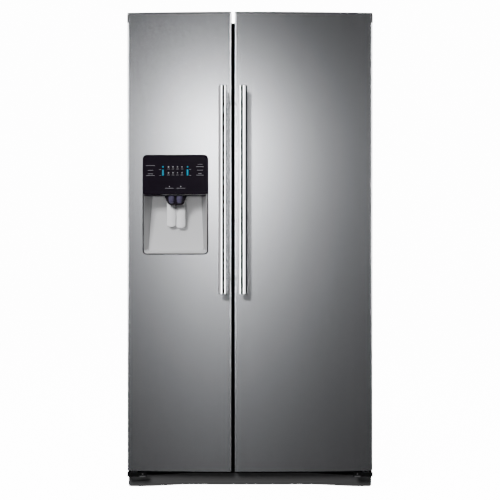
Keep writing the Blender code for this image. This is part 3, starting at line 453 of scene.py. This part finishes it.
def handle(side):
    """A bar with crowned sides and flat ends, on two posts with collars."""
    low, high = HANDLE[side]
    name, body = f"{side}_bar", f"{side}_door"
    middle_x, half_x = (low.x + high.x) / 2, (high.x - low.x) / 2
    middle_y = low.y + BAR_HALF_DEPTH
    outline = [
        (middle_x + half_x * math.cos(a), middle_y + BAR_HALF_DEPTH * math.sin(a))
        for a in (2 * math.pi * step / BAR_SIDES for step in range(BAR_SIDES))
    ]
    mesh = extruded(name, outline, (low.z, high.z), "Z")
    bar = add_object(name, mesh, BAR_STEEL, body)
    bevelled(bar, 0.0012, 3, 60)
    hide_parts(f"{side}_handle")
    foot = front_y(middle_x)
    parts = (
        ("post", POST_RADIUS, (middle_y, foot - 0.0003)),
        ("collar", COLLAR_RADIUS, (foot - 0.004, foot - 0.0004)),
    )
    for end, z in (("lower", low.z + POST_INSET), ("upper", high.z - POST_INSET)):
        for part, radius, y in parts:
            name = f"{side}_{end}_{part}"
            mesh = extruded(name, polygon(middle_x, z, radius, POST_SIDES), y, "Y")
            bevelled(add_object(name, mesh, BAR_STEEL, body), 0.0006, 2, 60)
    return bar


# ---- dispenser ----
FRAME_CORNER = 0.016
WALL_CORNER = 0.013
ALCOVE_X = (HOUSING[0].x + 0.0045, HOUSING[1].x - 0.0045)
ALCOVE_Z = (HOUSING[0].z + 0.0045, PANEL_SEAM - 0.003)
BACK_HALF = (0.103, 0.092)  # half width of the alcove's back at the bottom and at the top
BACK_Y = (-0.336, -0.274)  # where the back lies, at the bottom and at the top
BACK_LIFT = 0.010  # how much higher the alcove's floor is at the back
PLATE_COLUMNS = 16


def bowed_plate(name, outline, near, far, material, hole=None):
    """A thin plate that follows the bow of the doors, between near and far behind their front."""
    shape_mesh = extruded(name, outline, (CROWN + near, CROWN + far), "Y")
    obj = add_object(name, shape_mesh, material, "freezer_door")
    if hole:
        carve(obj, extruded("hole", hole, (CROWN + near - 0.01, CROWN + far + 0.01), "Y"))
    shape = bmesh.new()
    shape.from_mesh(obj.data)
    xs = [point[0] for point in outline]
    for step in range(1, PLATE_COLUMNS):
        x = min(xs) + (max(xs) - min(xs)) * step / PLATE_COLUMNS
        geometry = shape.verts[:] + shape.edges[:] + shape.faces[:]
        bmesh.ops.bisect_plane(shape, geom=geometry, plane_co=(x, 0, 0), plane_no=(1, 0, 0))
    for vertex in shape.verts:
        vertex.co.y += front_y(vertex.co.x) - CROWN
    shape.to_mesh(obj.data)
    shape.free()
    return shaded(obj)


def alcove():
    """The moulded recess: its walls run in from the opening to a narrower, sloping back."""
    front = rounded_rectangle(
        (ALCOVE_X[0], ALCOVE_Z[0]), (ALCOVE_X[1], ALCOVE_Z[1]), WALL_CORNER, 8, (True, True, False, False)
    )
    height = ALCOVE_Z[1] - ALCOVE_Z[0]
    half_front = (ALCOVE_X[1] - ALCOVE_X[0]) / 2

    def ring(narrowing, depth):
        """The outline at a share of the way to the back's width and depth."""
        points = []
        for x, z in front:
            up = (z - ALCOVE_Z[0]) / height
            half_back = BACK_HALF[0] + (BACK_HALF[1] - BACK_HALF[0]) * up
            across = (x - DISPENSER_MID) / half_front
            half = half_front + (half_back - half_front) * narrowing
            back_y = BACK_Y[0] + (BACK_Y[1] - BACK_Y[0]) * up
            y = front_y(x) + (back_y - front_y(x)) * depth
            lift = BACK_LIFT * narrowing * (1 - up)
            points.append((DISPENSER_MID + across * half, y, z + lift))
        return points

    # how far each ring is narrowed and set back, from the opening inwards
    rolls = ((0.0, -0.01), (0.03, 0.0), (0.10, 0.04), (0.80, 0.88), (0.90, 0.96), (1.0, 1.0))
    shape = bmesh.new()
    rings = [[shape.verts.new(point) for point in ring(*roll)] for roll in rolls]
    for near, far in zip(rings, rings[1:]):
        for index in range(len(front)):
            other = (index + 1) % len(front)
            shape.faces.new((near[index], near[other], far[other], far[index]))
    shape.faces.new(rings[-1])
    mesh = mesh_of("alcove_recess", shape)
    recess = add_object("alcove_recess", mesh, SILVER, "freezer_door")
    recess.data.materials.append(SILVER_SHADED_WALL)
    # the side walls above the floor take the darker copy of the silver: painted shade
    for face in recess.data.polygons:
        if abs(face.normal.x) > 0.5 and face.center.z > ALCOVE_Z[0] + 0.012:
            face.material_index = 1
    thick = recess.modifiers.new("wall", "SOLIDIFY")
    thick.thickness = 0.0015
    thick.offset = 1.0
    return recess


def turned(name, profile, centre, material, body):
    """A turned piece round a vertical axis, from its (radius, height) points."""
    shape = bmesh.new()
    verts = [shape.verts.new((radius, 0, height)) for radius, height in profile]
    edges = [shape.edges.new(pair) for pair in zip(verts, verts[1:])]
    origin, upright = (0, 0, 0), (0, 0, 1)
    bmesh.ops.spin(
        shape, geom=verts + edges, cent=origin, axis=upright, angle=2 * math.pi, steps=40, use_merge=True
    )
    bmesh.ops.remove_doubles(shape, verts=shape.verts, dist=1e-5)
    bmesh.ops.translate(shape, vec=centre, verts=shape.verts)
    return add_object(name, mesh_of(name, shape), material, body)


def paddle(name, node, drop):
    """A lever blade, bulging towards the front, with rounded lower corners. drop lowers its tip."""
    low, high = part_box(node)
    middle, half = (low.x + high.x) / 2, (high.x - low.x) / 2
    bottom, top = low.z - drop, high.z - 0.012
    across_steps, up_steps, corner, bulge = 20, 28, 0.009, 0.0045
    shape = bmesh.new()
    grid = []
    for row in range(up_steps + 1):
        z = bottom + (top - bottom) * (row / up_steps) ** 1.4
        cut = corner - math.sqrt(max(0.0, corner**2 - max(0.0, corner - (z - bottom)) ** 2))
        line = []
        for column in range(across_steps + 1):
            across = 2 * column / across_steps - 1
            x = middle + across * (half - cut)
            y = low.y + 0.005 - bulge * (1 - across * across)
            line.append(shape.verts.new((x, y, z)))
        grid.append(line)
    for row in range(up_steps):
        for column in range(across_steps):
            a, b = grid[row], grid[row + 1]
            shape.faces.new((a[column], a[column + 1], b[column + 1], b[column]))
    body = frame["nodes"][node]["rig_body"]
    blade = add_object(name, mesh_of(name, shape), PADDLE, body)
    thick = blade.modifiers.new("wall", "SOLIDIFY")
    thick.thickness = 0.0022
    thick.offset = -1.0
    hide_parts(node)
    hub = [
        (0.0, -0.016), (0.004, -0.016), (0.0048, -0.015), (0.0048, 0.015), (0.004, 0.016), (0.0, 0.016),
    ]
    pivot = turned(f"{name}_hub", hub, (0, 0, 0), DARK, body)
    place = Matrix.Translation((middle, high.y - 0.005, high.z - 0.005))
    pivot.data.transform(place @ Matrix.Rotation(math.pi / 2, 4, "Y"))


def dispenser_frame():
    """A thin black line round the dispenser, painted shade where its housing meets the door, the rim
    inside it, and the recess with a light of its own.
    """
    low, high = HOUSING
    opening = rounded_rectangle((ALCOVE_X[0], ALCOVE_Z[0]), (ALCOVE_X[1], high.z - 0.004), WALL_CORNER)
    # the first ring is a thin black line: painted shade at the housing's edge
    rims = (("dispenser_shade_line", 0.0, -0.0012, DARK), ("dispenser_rim", 0.0044, -0.0022, SILVER))
    for name, inset, near, look in rims:
        outline = rounded_rectangle(
            (low.x + inset, low.z + inset), (high.x - inset, high.z - inset), FRAME_CORNER - inset
        )
        rim = bowed_plate(name, outline, near, near + 0.0012, look, opening)
        bevelled(rim, 0.0004, 2, 50)
    recess = alcove()
    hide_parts("dispenser_housing")
    place, aim = (DISPENSER_MID, CROWN - 1.6, 0.95), (DISPENSER_MID, -0.28, 1.07)
    link_light(area_light("alcove_fill", place, aim, (0.5, 0.5), 14), [recess])


def dispenser_face():
    """The glossy control panel, and the dark ceiling of the recess behind it."""
    outline = rounded_rectangle(
        (PANEL[0].x, PANEL[0].z), (PANEL[1].x, PANEL[1].z), FRAME_CORNER, 8, (False, False, True, True)
    )
    face = bowed_plate("control_panel", outline, -0.0066, -0.0020, BLACK)
    bevelled(face, 0.0012, 3, 50)
    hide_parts("dispenser_panel")
    low = (ALCOVE_X[0] + 0.002, CROWN + 0.012, PANEL_SEAM - 0.0075)
    high = (ALCOVE_X[1] - 0.002, -0.285, PANEL_SEAM - 0.0005)
    soft_box("alcove_ceiling", low, high, 0.001, BLACK, "freezer_door", "black_plastic")


def spout():
    """A funnel with two nozzles side by side and a divider between them."""
    body = "freezer_door"
    spout_low, spout_high = SPOUT
    half_top, half_bottom = 0.0415, 0.026
    outline = [
        (DISPENSER_MID - half_top, spout_high.z),
        (DISPENSER_MID - half_top + 0.003, spout_high.z - 0.010),
        (DISPENSER_MID - half_bottom - 0.004, spout_low.z + 0.006),
        (DISPENSER_MID - half_bottom + 0.004, spout_low.z),
        (DISPENSER_MID + half_bottom - 0.004, spout_low.z),
        (DISPENSER_MID + half_bottom + 0.004, spout_low.z + 0.006),
        (DISPENSER_MID + half_top - 0.003, spout_high.z - 0.010),
        (DISPENSER_MID + half_top, spout_high.z),
    ]
    depth = (spout_low.y + 0.010, spout_high.y)
    mesh = extruded("spout_body", outline, depth, "Y")
    funnel = add_object("spout_body", mesh, BLACK, body)
    bevelled(funnel, 0.004, 4, 15)
    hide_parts("dispenser_spout")
    profile = [
        (0.0, 0.031), (0.0110, 0.031), (0.0122, 0.024), (0.0118, 0.015), (0.0100, 0.006), (0.0082, 0.0015),
        (0.0074, 0.0005), (0.0066, 0.0015), (0.0066, 0.008), (0.0, 0.008),
    ]
    for name, way in (("water", -1), ("ice", 1)):
        place = (DISPENSER_MID + way * 0.0150, spout_low.y + 0.0125, spout_low.z + 0.0050)
        turned(f"{name}_nozzle", profile, place, NOZZLE, body)
    divider_low = (DISPENSER_MID - 0.0012, spout_high.y - 0.008, spout_low.z - 0.015)
    divider_high = (DISPENSER_MID + 0.0012, spout_high.y - 0.001, spout_low.z + 0.004)
    soft_box("spout_divider", divider_low, divider_high, 0.0005, BLACK, body, "black_plastic")


def dispenser():
    """Everything in the freezer door's opening, from the frame inwards."""
    dispenser_frame()
    dispenser_face()
    spout()
    paddle("water_paddle_blade", "water_lever", 0.0)
    paddle("ice_paddle_blade", "ice_lever", 0.004)
    markings()


# ---- marks on the control panel ----
DASH_HEIGHT = 0.0009
SYMBOLS = ((20, 0.0), (4, math.pi / 4), (3, math.pi / 2), (4, 0.0))  # sides and turn of each
LEFT_LABELS = ((0.105, 0.034), (0.0875, 0.020), (0.0745, 0.018), (0.068, 0.032))  # height, width
RIGHT_LABELS = ((0.109, 0.018), (0.1005, 0.028), (0.0875, 0.022), (0.0755, 0.012), (0.069, 0.028))


def mark(name, outline, material=MARK):
    """A thin lit shape on the control panel, standing just proud of it."""
    mesh = extruded(name, outline, (-0.0072, -0.0060), "Y")
    for vertex in mesh.vertices:
        vertex.co.y += front_y(vertex.co.x)
    add_object(name, mesh, material, "freezer_door")


def dash(name, x, z, width):
    """A short line in place of a word."""
    low, high = (x - width / 2, z - DASH_HEIGHT / 2), (x + width / 2, z + DASH_HEIGHT / 2)
    mark(name, rounded_rectangle(low, high, DASH_HEIGHT * 0.3, 3))


def markings():
    """Level bars, plain symbols and dashes in place of any lettering."""
    bar_z = (PANEL_SEAM + 0.068, PANEL_SEAM + 0.090)
    half = 0.0030
    for way, word in ((-1, "left"), (1, "right")):
        x = DISPENSER_MID + way * 0.0455
        bar = rounded_rectangle((x - half, bar_z[0]), (x + half, bar_z[1]), 0.001, 3)
        mark(f"{word}_level_bar", bar, CYAN)
        mark(f"{word}_level_dot", polygon(x, bar_z[1] + 0.010, half, 20), CYAN)
        for index, z in enumerate(bar_z):
            dash(f"{word}_tick_{index}", x + way * 0.010, z, 0.007)
    for row, z in enumerate((bar_z[1] + 0.010, bar_z[0] + 0.010)):
        for column, (sides, turn) in enumerate(SYMBOLS):
            x = DISPENSER_MID + (column - 1.5) * 0.0167
            mark(f"symbol_{row}_{column}", polygon(x, z, 0.0026, sides, turn))
            dash(f"symbol_line_{row}_{column}", x, z - 0.008, 0.009)
    for word, x, labels in (("left", -0.092, LEFT_LABELS), ("right", 0.0915, RIGHT_LABELS)):
        for index, (up, width) in enumerate(labels):
            dash(f"{word}_label_{index}", DISPENSER_MID + x, PANEL_SEAM + up, width)
    for index, x in enumerate((-0.0215, 0.0205)):
        dash(f"lever_label_{index}", DISPENSER_MID + x, PANEL_SEAM + 0.021, 0.032)
        arrow = polygon(DISPENSER_MID + x, PANEL_SEAM + 0.027, 0.0028, 3, math.pi / 2)
        mark(f"lever_symbol_{index}", arrow)


# ---- painted shade in the gaps ----
def gap_shade_parts():
    """Painted shade: a black strip over the case front between the doors, and a black sheet behind the
    kick plate so the floor under the case reads dark.
    """
    gap_x = (SKIN["freezer"][1].x + SKIN["fridge"][0].x) / 2
    case_front, case_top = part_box("center_mullion")[0].y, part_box("top_panel")[1].z
    # painted shade: a black strip over the case front, so the gap between the doors reads black
    low = (gap_x - 0.012, case_front - 0.0013, KICK[1].z + 0.004)
    high = (gap_x + 0.012, case_front - 0.0003, case_top)
    soft_box("gap_shade_strip", low, high, 0.0003, DARK, "cabinet", "charcoal_plastic")
    half = HALF_WIDTH - 0.002
    # painted shade: a black sheet behind the kick plate, so the white floor under the case does not show
    shade_corners = (-half, case_front - 0.012, 0.010), (half, case_front - 0.010, SKIN["fridge"][0].z - 0.001)
    soft_box("under_case_shade", *shade_corners, 0.0005, DARK, "cabinet", "charcoal_plastic")


def smooth_step(value, start, end):
    """From 0 at start to 1 at end, level at both."""
    share = min(max((value - start) / (end - start), 0.0), 1.0)
    return share * share * (3 - 2 * share)


def kick_plate():
    """Arched cover below the doors, whose upper edge falls away at the ends, round the lower hinges."""
    half, low, high = KICK[1].x, KICK[0].z + KICK_RAISE, KICK[1].z
    wide = half + 0.01
    outer, inner = (
        bowed_outline((-half, half), KICK[1].y, inset, KICK_CORNER, KICK_SETBACK)
        for inset in (0.0, KICK_WALL)
    )
    shell = extruded("kick_cover", outer + inner[::-1], (KICK[0].z, high), "Z")
    cover = add_object("kick_cover", shell, KICK_PLASTIC, "cabinet")

    corner = [
        (half - KICK_ROUND * (1 - math.sin(angle)), low + KICK_ROUND * (1 - math.cos(angle)))
        for angle in (step * math.pi / 16 for step in range(9))
    ]
    across = [(half - KICK_ROUND) * step / 40 for step in range(-39, 40)]
    arch = [(x, low + KICK_RISE * (1 - smooth_step(abs(x), *KICK_ARCH))) for x in across]
    edge = [(-x, z) for x, z in corner[::-1]] + arch + corner
    side_z = edge[0][1]
    under = edge + [(wide, side_z), (wide, -0.02), (-wide, -0.02), (-wide, side_z)]
    across = [wide * step / 48 for step in range(-48, 49)]
    crest = [(x, high + 0.001 - KICK_DROP * smooth_step(abs(x), *KICK_FALL)) for x in across]
    over = crest + [(wide, high + 0.03), (-wide, high + 0.03)]
    for outline in (under, over):
        carve(cover, extruded("cutter", outline, (-0.5, -0.2), "Y"))
    bevelled(cover, 0.0008, 3, 40)
    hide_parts("kick_plate")


def lower_hinge_cover(side):
    """Black bracket below an outer door corner, which also stands in as painted shade there, with the
    hinge's tab and screw, in a darkened copy of the zinc that is painted shade, showing in front of it.
    """
    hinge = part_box(f"{side}_bottom_hinge")
    out = outward(side)
    front, back = hinge[0].y - 0.024, KICK[0].y + 0.045
    inner, outer, wall = out * BRACKET_INNER, out * (HALF_WIDTH - 0.0008), BRACKET_WALL
    span = (hinge[0].z - 0.0085, SKIN[side][0].z - 0.0012)
    outline = [
        (inner, front), (outer, front), (outer, back), (outer - out * wall, back),
        (outer - out * wall, front + wall), (inner, front + wall),
    ]
    name = f"{side}_hinge_bracket_and_shade"
    # a black bracket cover, dark also as painted shade under the door corner
    bracket = add_object(name, extruded(name, outline, span, "Z"), DARK, "cabinet")
    bevelled(bracket, 0.0005, 2, 50)
    middle = out * TAB_X
    tab_low = (middle - TAB_HALF, front - 0.0022, span[0] - 0.0005)
    tab_high = (middle + TAB_HALF, front - 0.0003, span[0] + 0.0036)
    soft_box(f"{side}_hinge_tab", tab_low, tab_high, 0.0006, SHADED_ZINC, "cabinet", "zinc_steel")
    head = polygon(middle, span[0] + 0.0100, SCREW_RADIUS, 24)
    name = f"{side}_hinge_screw"
    mesh = extruded(name, head, (front - 0.0018, front - 0.0003), "Y")
    bevelled(add_object(name, mesh, SHADED_ZINC, "cabinet"), 0.0005, 2, 50)


# ---- inside ----
SHELVES = (
    "fridge_shelf_upper", "fridge_shelf_lower", "crisper_cover",
    "freezer_shelf_upper", "freezer_shelf_lower",
)
DRAWERS = {  # and the bodies they ride
    "crisper_drawer_upper": "crisper_upper",
    "crisper_drawer_lower": "crisper_lower",
    "freezer_drawer": "freezer_basket",
}
BINS = {
    "freezer_door_bin_lower": "freezer_door",
    "freezer_door_bin_upper": "freezer_door",
    "fridge_door_bin_lower": "fridge_door",
    "fridge_door_bin_upper": "fridge_door",
    "dairy_bin": "fridge_door",
}


def shelf_parts(name):
    """A white trim along the front lip, and a rail under each side of the glass."""
    low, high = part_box(name)
    trim_low = (low.x + 0.0005, low.y - 0.0028, low.z + 0.001)
    trim_high = (high.x - 0.0005, low.y - 0.0002, high.z - 0.0005)
    soft_box(f"{name}_trim", trim_low, trim_high, 0.0012, WHITE, "cabinet", "white_plastic")
    rail_y, rail_z = (low.y + 0.018, high.y - 0.014), (high.z - 0.0150, high.z - 0.0064)
    for word, x in (("left", (low.x, low.x + 0.009)), ("right", (high.x - 0.009, high.x))):
        rail = (x[0], rail_y[0], rail_z[0]), (x[1], rail_y[1], rail_z[1])
        soft_box(f"{name}_{word}_rail", *rail, 0.002, WHITE, "cabinet", "white_plastic")


def front_strip(name, body, y, drop):
    """A thin silver strip across a drawer or bin, drop (from, to) below its rim."""
    low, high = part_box(name)
    strip = (low.x + 0.012, y[0], high.z - drop[1]), (high.x - 0.012, y[1], high.z - drop[0])
    soft_box(f"{name}_strip", *strip, 0.0005, SILVER, body, "silver_plastic")


def ice_bezel():
    """The white front of the ice bucket, round its clear window."""
    low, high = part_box("ice_bucket")
    ring = rounded_rectangle((low.x + 0.004, low.z + 0.006), (high.x - 0.004, high.z - 0.006), 0.012)
    window = rounded_rectangle((low.x + 0.050, low.z + 0.050), (high.x - 0.050, high.z - 0.040), 0.010)
    y = (low.y - 0.0028, low.y - 0.0003)
    mesh = extruded("ice_bezel", ring, y, "Y")
    bezel = add_object("ice_bezel", mesh, WHITE, "cabinet")
    carve(bezel, extruded("window", window, (y[0] - 0.01, y[1] + 0.01), "Y"))
    bevelled(bezel, 0.0010, 3, 50)


def lamps():
    """A flat lamp on the ceiling of each compartment."""
    for side in SIDES:
        low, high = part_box(f"{side}_liner")
        middle, ceiling = (low.x + high.x) / 2, high.z - LINER_WALL
        lamp_low = (middle - LAMP_HALF, low.y + 0.11, ceiling - 0.006)
        lamp_high = (middle + LAMP_HALF, low.y + 0.15, ceiling - 0.0003)
        soft_box(f"{side}_lamp", lamp_low, lamp_high, 0.002, LAMP, "cabinet", "white_plastic")


def inside_parts():
    """What the shelves, the drawers, the bins, the ice bucket and the ceilings carry."""
    for name in SHELVES:
        shelf_parts(name)
    for name, body in DRAWERS.items():
        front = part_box(name)[0].y
        front_strip(name, body, (front - 0.0016, front - 0.0003), (0.006, 0.018))
    for name, body in BINS.items():
        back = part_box(name)[1].y
        front_strip(name, body, (back + 0.0003, back + 0.0016), (0.004, 0.014))
    ice_bezel()
    lamps()


# ---- nodes shown as they are, with a material only ----
NODE_LOOKS = {
    PAINT: ("left_side_panel", "right_side_panel", "top_panel", "rear_panel"),
    # the mullion's front is near-black: painted shade for the gap between the doors
    DARK: ("center_mullion",),
    ZINC: ("base_plate", "freezer_top_hinge", "fridge_top_hinge", "ice_auger", "evaporator_coil"),
    # the lower hinges take the darker copy of the zinc: painted shade
    SHADED_ZINC: ("freezer_bottom_hinge", "fridge_bottom_hinge"),
    CHARCOAL: (
        "machine_room_cover", "condenser_fan", "evaporator_fan",
        "left_leveling_leg", "right_leveling_leg", "left_rear_roller", "right_rear_roller",
        "freezer_hinge_cover", "fridge_hinge_cover",
    ),
    CAP_PLASTIC: ("freezer_door_top_cap", "fridge_door_top_cap"),
    WHITE: (
        "freezer_liner", "fridge_liner", "freezer_door_liner", "fridge_door_liner",
        "fridge_duct_cover", "evaporator_cover", "ice_maker",
    ),
    CLEAR: (*DRAWERS, *BINS, "ice_bucket", "dairy_flap"),
    GLASS: SHELVES,
    BLACK_PAINT: ("compressor",),
    COPPER: ("condenser_coil",),
    SEAL: ("freezer_door_gasket", "fridge_door_gasket"),
    BLACK: ("power_cord_gland",),
}


def dress_nodes():
    """Gives the CAD nodes that stay in view their materials."""
    for material, names in NODE_LOOKS.items():
        for name in names:
            node = frame["nodes"][name]
            node.data.materials.clear()
            node.data.materials.append(material)


# ---- stage and light ----
BACKDROP = 14.0  # brightness of the white behind and below the object, as the camera sees it
AMBIENT = 0.26
GLOSSY_CUT = 0.24  # taken from the ambient light in reflections
BELOW_START, BELOW_GAIN = -0.35, 1.6  # reflections brighten again below this slope, this fast
STEEPNESS = (1.6, 2.0, 1.5)  # how a pool of light falls off to the sides, up and down
CARD_REACH = (1.115, 0.40, 1.15)  # how far the card's pool reaches, in the same three directions
CARD_FADE, CARD_BRIGHTNESS = 2.9, 2.6
CARD_HEART = (-0.40, 1.78)  # x, z
BEAM_REACH = (0.2525, 0.29, 0.438)
BEAM_FADE, BEAM_POWER = 2.6, 1500
BEAM_SIZE = 3.2
BEAM_RIGHT, BEAM_DOWN = math.radians(17), math.radians(26)  # which way it travels
BAR_STRIPS = (  # the bar, the azimuths and the radiance of each stripe
    (0, (-33, -16), 13),
    (0, (41, 66), 9),
    (0, (-110, -50), 0.7),
    (1, (-84, -60), 14),
    (1, (4, 19), 14),
    (1, (23, 52), 2.6),
)
BAR_AIM = (-0.06, CROWN, 1.1)
EDGE_STRIPS = (("left", (-67, -56)), ("right", (56, 67)))
EDGE_AIM, EDGE_RADIANCE = (0, CROWN, 1.9), 23
FRONT_LIGHTS = (  # place, aim, size, power
    ("front_soft", (-1.9, -4.2, 3.2), (-0.2, -0.4, 1.1), (1.4, 1.4), 330),
    ("top_soft", (0, -1.0, 4.5), (0, 0, 0), (3.0, 3.0), 60),
)
SIDE_LIGHTS = (  # place, power
    ("left_soft", (-4.0, 0.9, 2.8), 34),
    ("right_soft", (4.0, 0.9, 2.8), 34),
    ("back_soft", (1.4, 4.4, 3.0), 40),
)
SIDE_AIM, SIDE_SIZE = (0, 0, 0.9), (2.4, 2.4)


def area_light(name, place, aim, size, power):
    """A rectangular white light at a place, turned to an aim."""
    data = bpy.data.lights.new(name, "AREA")
    data.shape = "RECTANGLE"
    data.size, data.size_y = size
    data.energy = power
    light = bpy.data.objects.new(name, data)
    light.location = place
    light.rotation_euler = (Vector(aim) - Vector(place)).to_track_quat("-Z", "Y").to_euler()
    bpy.context.scene.collection.objects.link(light)
    return light


def math_node(tree, operation, first, second=None):
    """The result of a math node, its inputs numbers or sockets."""
    node = tree.nodes.new("ShaderNodeMath")
    node.operation = operation
    for socket, value in zip(node.inputs, (first, second)):
        if value is None:
            continue
        if isinstance(value, (int, float)):
            socket.default_value = value
        else:
            tree.links.new(value, socket)
    return node.outputs[0]


def studio_world():
    """White behind the object, a soft fill on it, and nearly dark in reflections except from below."""
    world = bpy.data.worlds.new("studio")
    world.use_nodes = True
    tree = world.node_tree
    rays = tree.nodes.new("ShaderNodeLightPath")
    backdrop = math_node(tree, "MULTIPLY", rays.outputs["Is Camera Ray"], BACKDROP)
    ambient = math_node(tree, "ADD", backdrop, AMBIENT)
    direction = tree.nodes.new("ShaderNodeTexCoord")
    parts = tree.nodes.new("ShaderNodeSeparateXYZ")
    tree.links.new(direction.outputs["Generated"], parts.inputs["Vector"])
    depth = math_node(tree, "SUBTRACT", BELOW_START, parts.outputs["Z"])
    below = math_node(tree, "MAXIMUM", depth, 0.0)
    change = math_node(tree, "SUBTRACT", math_node(tree, "MULTIPLY", below, BELOW_GAIN), GLOSSY_CUT)
    reflected = math_node(tree, "MULTIPLY", rays.outputs["Is Glossy Ray"], change)
    strength = math_node(tree, "ADD", ambient, reflected)
    tree.links.new(strength, tree.nodes["Background"].inputs["Strength"])
    tree.nodes["Background"].inputs["Color"].default_value = (1.0, 1.0, 1.0, 1.0)
    bpy.context.scene.world = world


def pool(tree, across, up, reach, fade):
    """How bright a graded pool of light is at this distance from its heart, where it is 1."""
    above, below = math_node(tree, "MAXIMUM", up, 0.0), math_node(tree, "MINIMUM", up, 0.0)
    total = 1.0
    for part, span, steepness in zip((across, above, below), reach, STEEPNESS):
        share = math_node(tree, "DIVIDE", math_node(tree, "ABSOLUTE", part), span)
        total = math_node(tree, "ADD", math_node(tree, "POWER", share, steepness), total)
    return math_node(tree, "POWER", total, -fade)


def key_card():
    """A large graded softbox in front, fading slowly to the sides and down, and quickly up."""
    card = bpy.data.objects.new("key_card", box_mesh("key_card", (-5, -0.01, -4), (5, 0, 5)))
    card.location = (0, CROWN - 4.6, 0)
    bpy.context.scene.collection.objects.link(card)
    material = bpy.data.materials.new("card_glow")
    material.use_nodes = True
    tree = material.node_tree
    tree.nodes.clear()
    place = tree.nodes.new("ShaderNodeTexCoord")
    parts = tree.nodes.new("ShaderNodeSeparateXYZ")
    tree.links.new(place.outputs["Object"], parts.inputs["Vector"])
    across = math_node(tree, "SUBTRACT", parts.outputs["X"], CARD_HEART[0])
    up = math_node(tree, "SUBTRACT", parts.outputs["Z"], CARD_HEART[1])
    glow_share = pool(tree, across, up, CARD_REACH, CARD_FADE)
    emission = tree.nodes.new("ShaderNodeEmission")
    tree.links.new(math_node(tree, "MULTIPLY", glow_share, CARD_BRIGHTNESS), emission.inputs["Strength"])
    output = tree.nodes.new("ShaderNodeOutputMaterial")
    tree.links.new(emission.outputs["Emission"], output.inputs["Surface"])
    card.data.materials.append(material)
    card.visible_camera = False
    return card


def key_beam():
    """A graded beam from the upper left, which throws the soft shadows of the handles."""
    travel = Vector((math.tan(BEAM_RIGHT), 1.0, -math.tan(BEAM_DOWN)))
    aim = Vector((-0.125, CROWN, 1.27))
    light = area_light("key_beam", aim - travel, aim, (BEAM_SIZE, BEAM_SIZE), BEAM_POWER)
    light.data.spread = math.radians(13)
    light.data.use_nodes = True
    light.visible_glossy = False
    tree = light.data.node_tree
    place = tree.nodes.new("ShaderNodeNewGeometry")
    parts = tree.nodes.new("ShaderNodeSeparateXYZ")
    tree.links.new(place.outputs["Parametric"], parts.inputs["Vector"])
    across = math_node(tree, "SUBTRACT", parts.outputs["X"], 0.5)
    up = math_node(tree, "SUBTRACT", parts.outputs["Y"], 0.5)
    beam_share = pool(tree, across, up, [span / BEAM_SIZE for span in BEAM_REACH], BEAM_FADE)
    tree.links.new(beam_share, tree.nodes["Emission"].inputs["Strength"])
    return light


def stage():
    """A floor that looks as white as the backdrop, and casts no light on the object."""
    floor_object = bpy.data.objects.new("floor", box_mesh("floor", (-40, -40, -0.02), (40, 40, 0.0)))
    bpy.context.scene.collection.objects.link(floor_object)
    look, tree, shader = new_material("floor_look")
    colour = ramp_colour(tree, object_noise(tree, 3), grey(0.86), grey(0.88))
    tree.links.new(colour, shader.inputs["Base Color"])
    rays = tree.nodes.new("ShaderNodeLightPath")
    shader.inputs["Roughness"].default_value = 0.6
    shader.inputs["Emission Color"].default_value = (1, 1, 1, 1)
    white = math_node(tree, "MULTIPLY", rays.outputs["Is Camera Ray"], BACKDROP)
    tree.links.new(white, shader.inputs["Emission Strength"])
    floor_object.data.materials.append(look)
    floor_object.visible_glossy = False
    floor_object.visible_diffuse = False

    studio_world()


def link_light(light, pieces, state="INCLUDE"):
    """Limits a light to these pieces, or keeps it off them, as flags and gobos do in a studio."""
    group = bpy.data.collections.new(f"{light.name}_pieces")
    for piece in pieces:
        group.objects.link(piece)
    for member in group.collection_objects:
        member.light_linking.link_state = state
    light.light_linking.receiver_collection = group


def strip_light(name, azimuths, aim, radiance, pieces, height=3.2, distance=3.8):
    """A tall softbox between two azimuths, in degrees to the right of straight ahead, seen from aim."""
    middle, half = (math.radians(sum(azimuths) / 2), math.radians(abs(azimuths[1] - azimuths[0]) / 2))
    width = 2 * distance * math.tan(half)
    place = (aim[0] + distance * math.sin(middle), aim[1] - distance * math.cos(middle), aim[2])
    light = area_light(name, place, aim, (width, height), radiance * math.pi * width * height)
    light.visible_diffuse = False
    link_light(light, pieces)


def light_steel(skins, bars):
    """A graded pool of light for the doors, stripes for each bar, strips for the doors' upright edges.

    Softer lights from in front, above, both sides and behind are for everything else.
    """
    link_light(key_card(), bars, "EXCLUDE")
    link_light(key_beam(), skins)
    for index, azimuths, radiance in BAR_STRIPS:
        strip_light(f"bar_strip_{index}_{azimuths[0]}", azimuths, BAR_AIM, radiance, [bars[index]])
    for side, azimuths in EDGE_STRIPS:
        strip_light(f"{side}_edge_strip", azimuths, EDGE_AIM, EDGE_RADIANCE, skins, 2.6, 3.5)
    for name, place, aim, size, power in FRONT_LIGHTS:
        light = area_light(name, place, aim, size, power)
        light.visible_glossy = False
        link_light(light, skins, "EXCLUDE")
    for name, place, power in SIDE_LIGHTS:
        light = area_light(name, place, SIDE_AIM, SIDE_SIZE, power)
        link_light(light, skins + bars, "EXCLUDE")
    for skin in skins:
        skin.visible_glossy = False


def camera():
    """Straight in front of the doors, at about half their height."""
    distance, height = 4.5, 0.890
    data = bpy.data.cameras.new("camera")
    data.sensor_width = 36
    data.lens = 87.8
    view = bpy.data.objects.new("camera", data)
    view.location = (0, CROWN - distance, height)
    view.rotation_euler = (math.pi / 2, 0, 0)
    bpy.context.scene.collection.objects.link(view)
    bpy.context.scene.camera = view


camera()
stage()
dress_nodes()
dispenser()
gap_shade_parts()
inside_parts()
kick_plate()
for door in SIDES:
    lower_hinge_cover(door)
light_steel([door_skin(door) for door in SIDES], [handle(door) for door in SIDES])
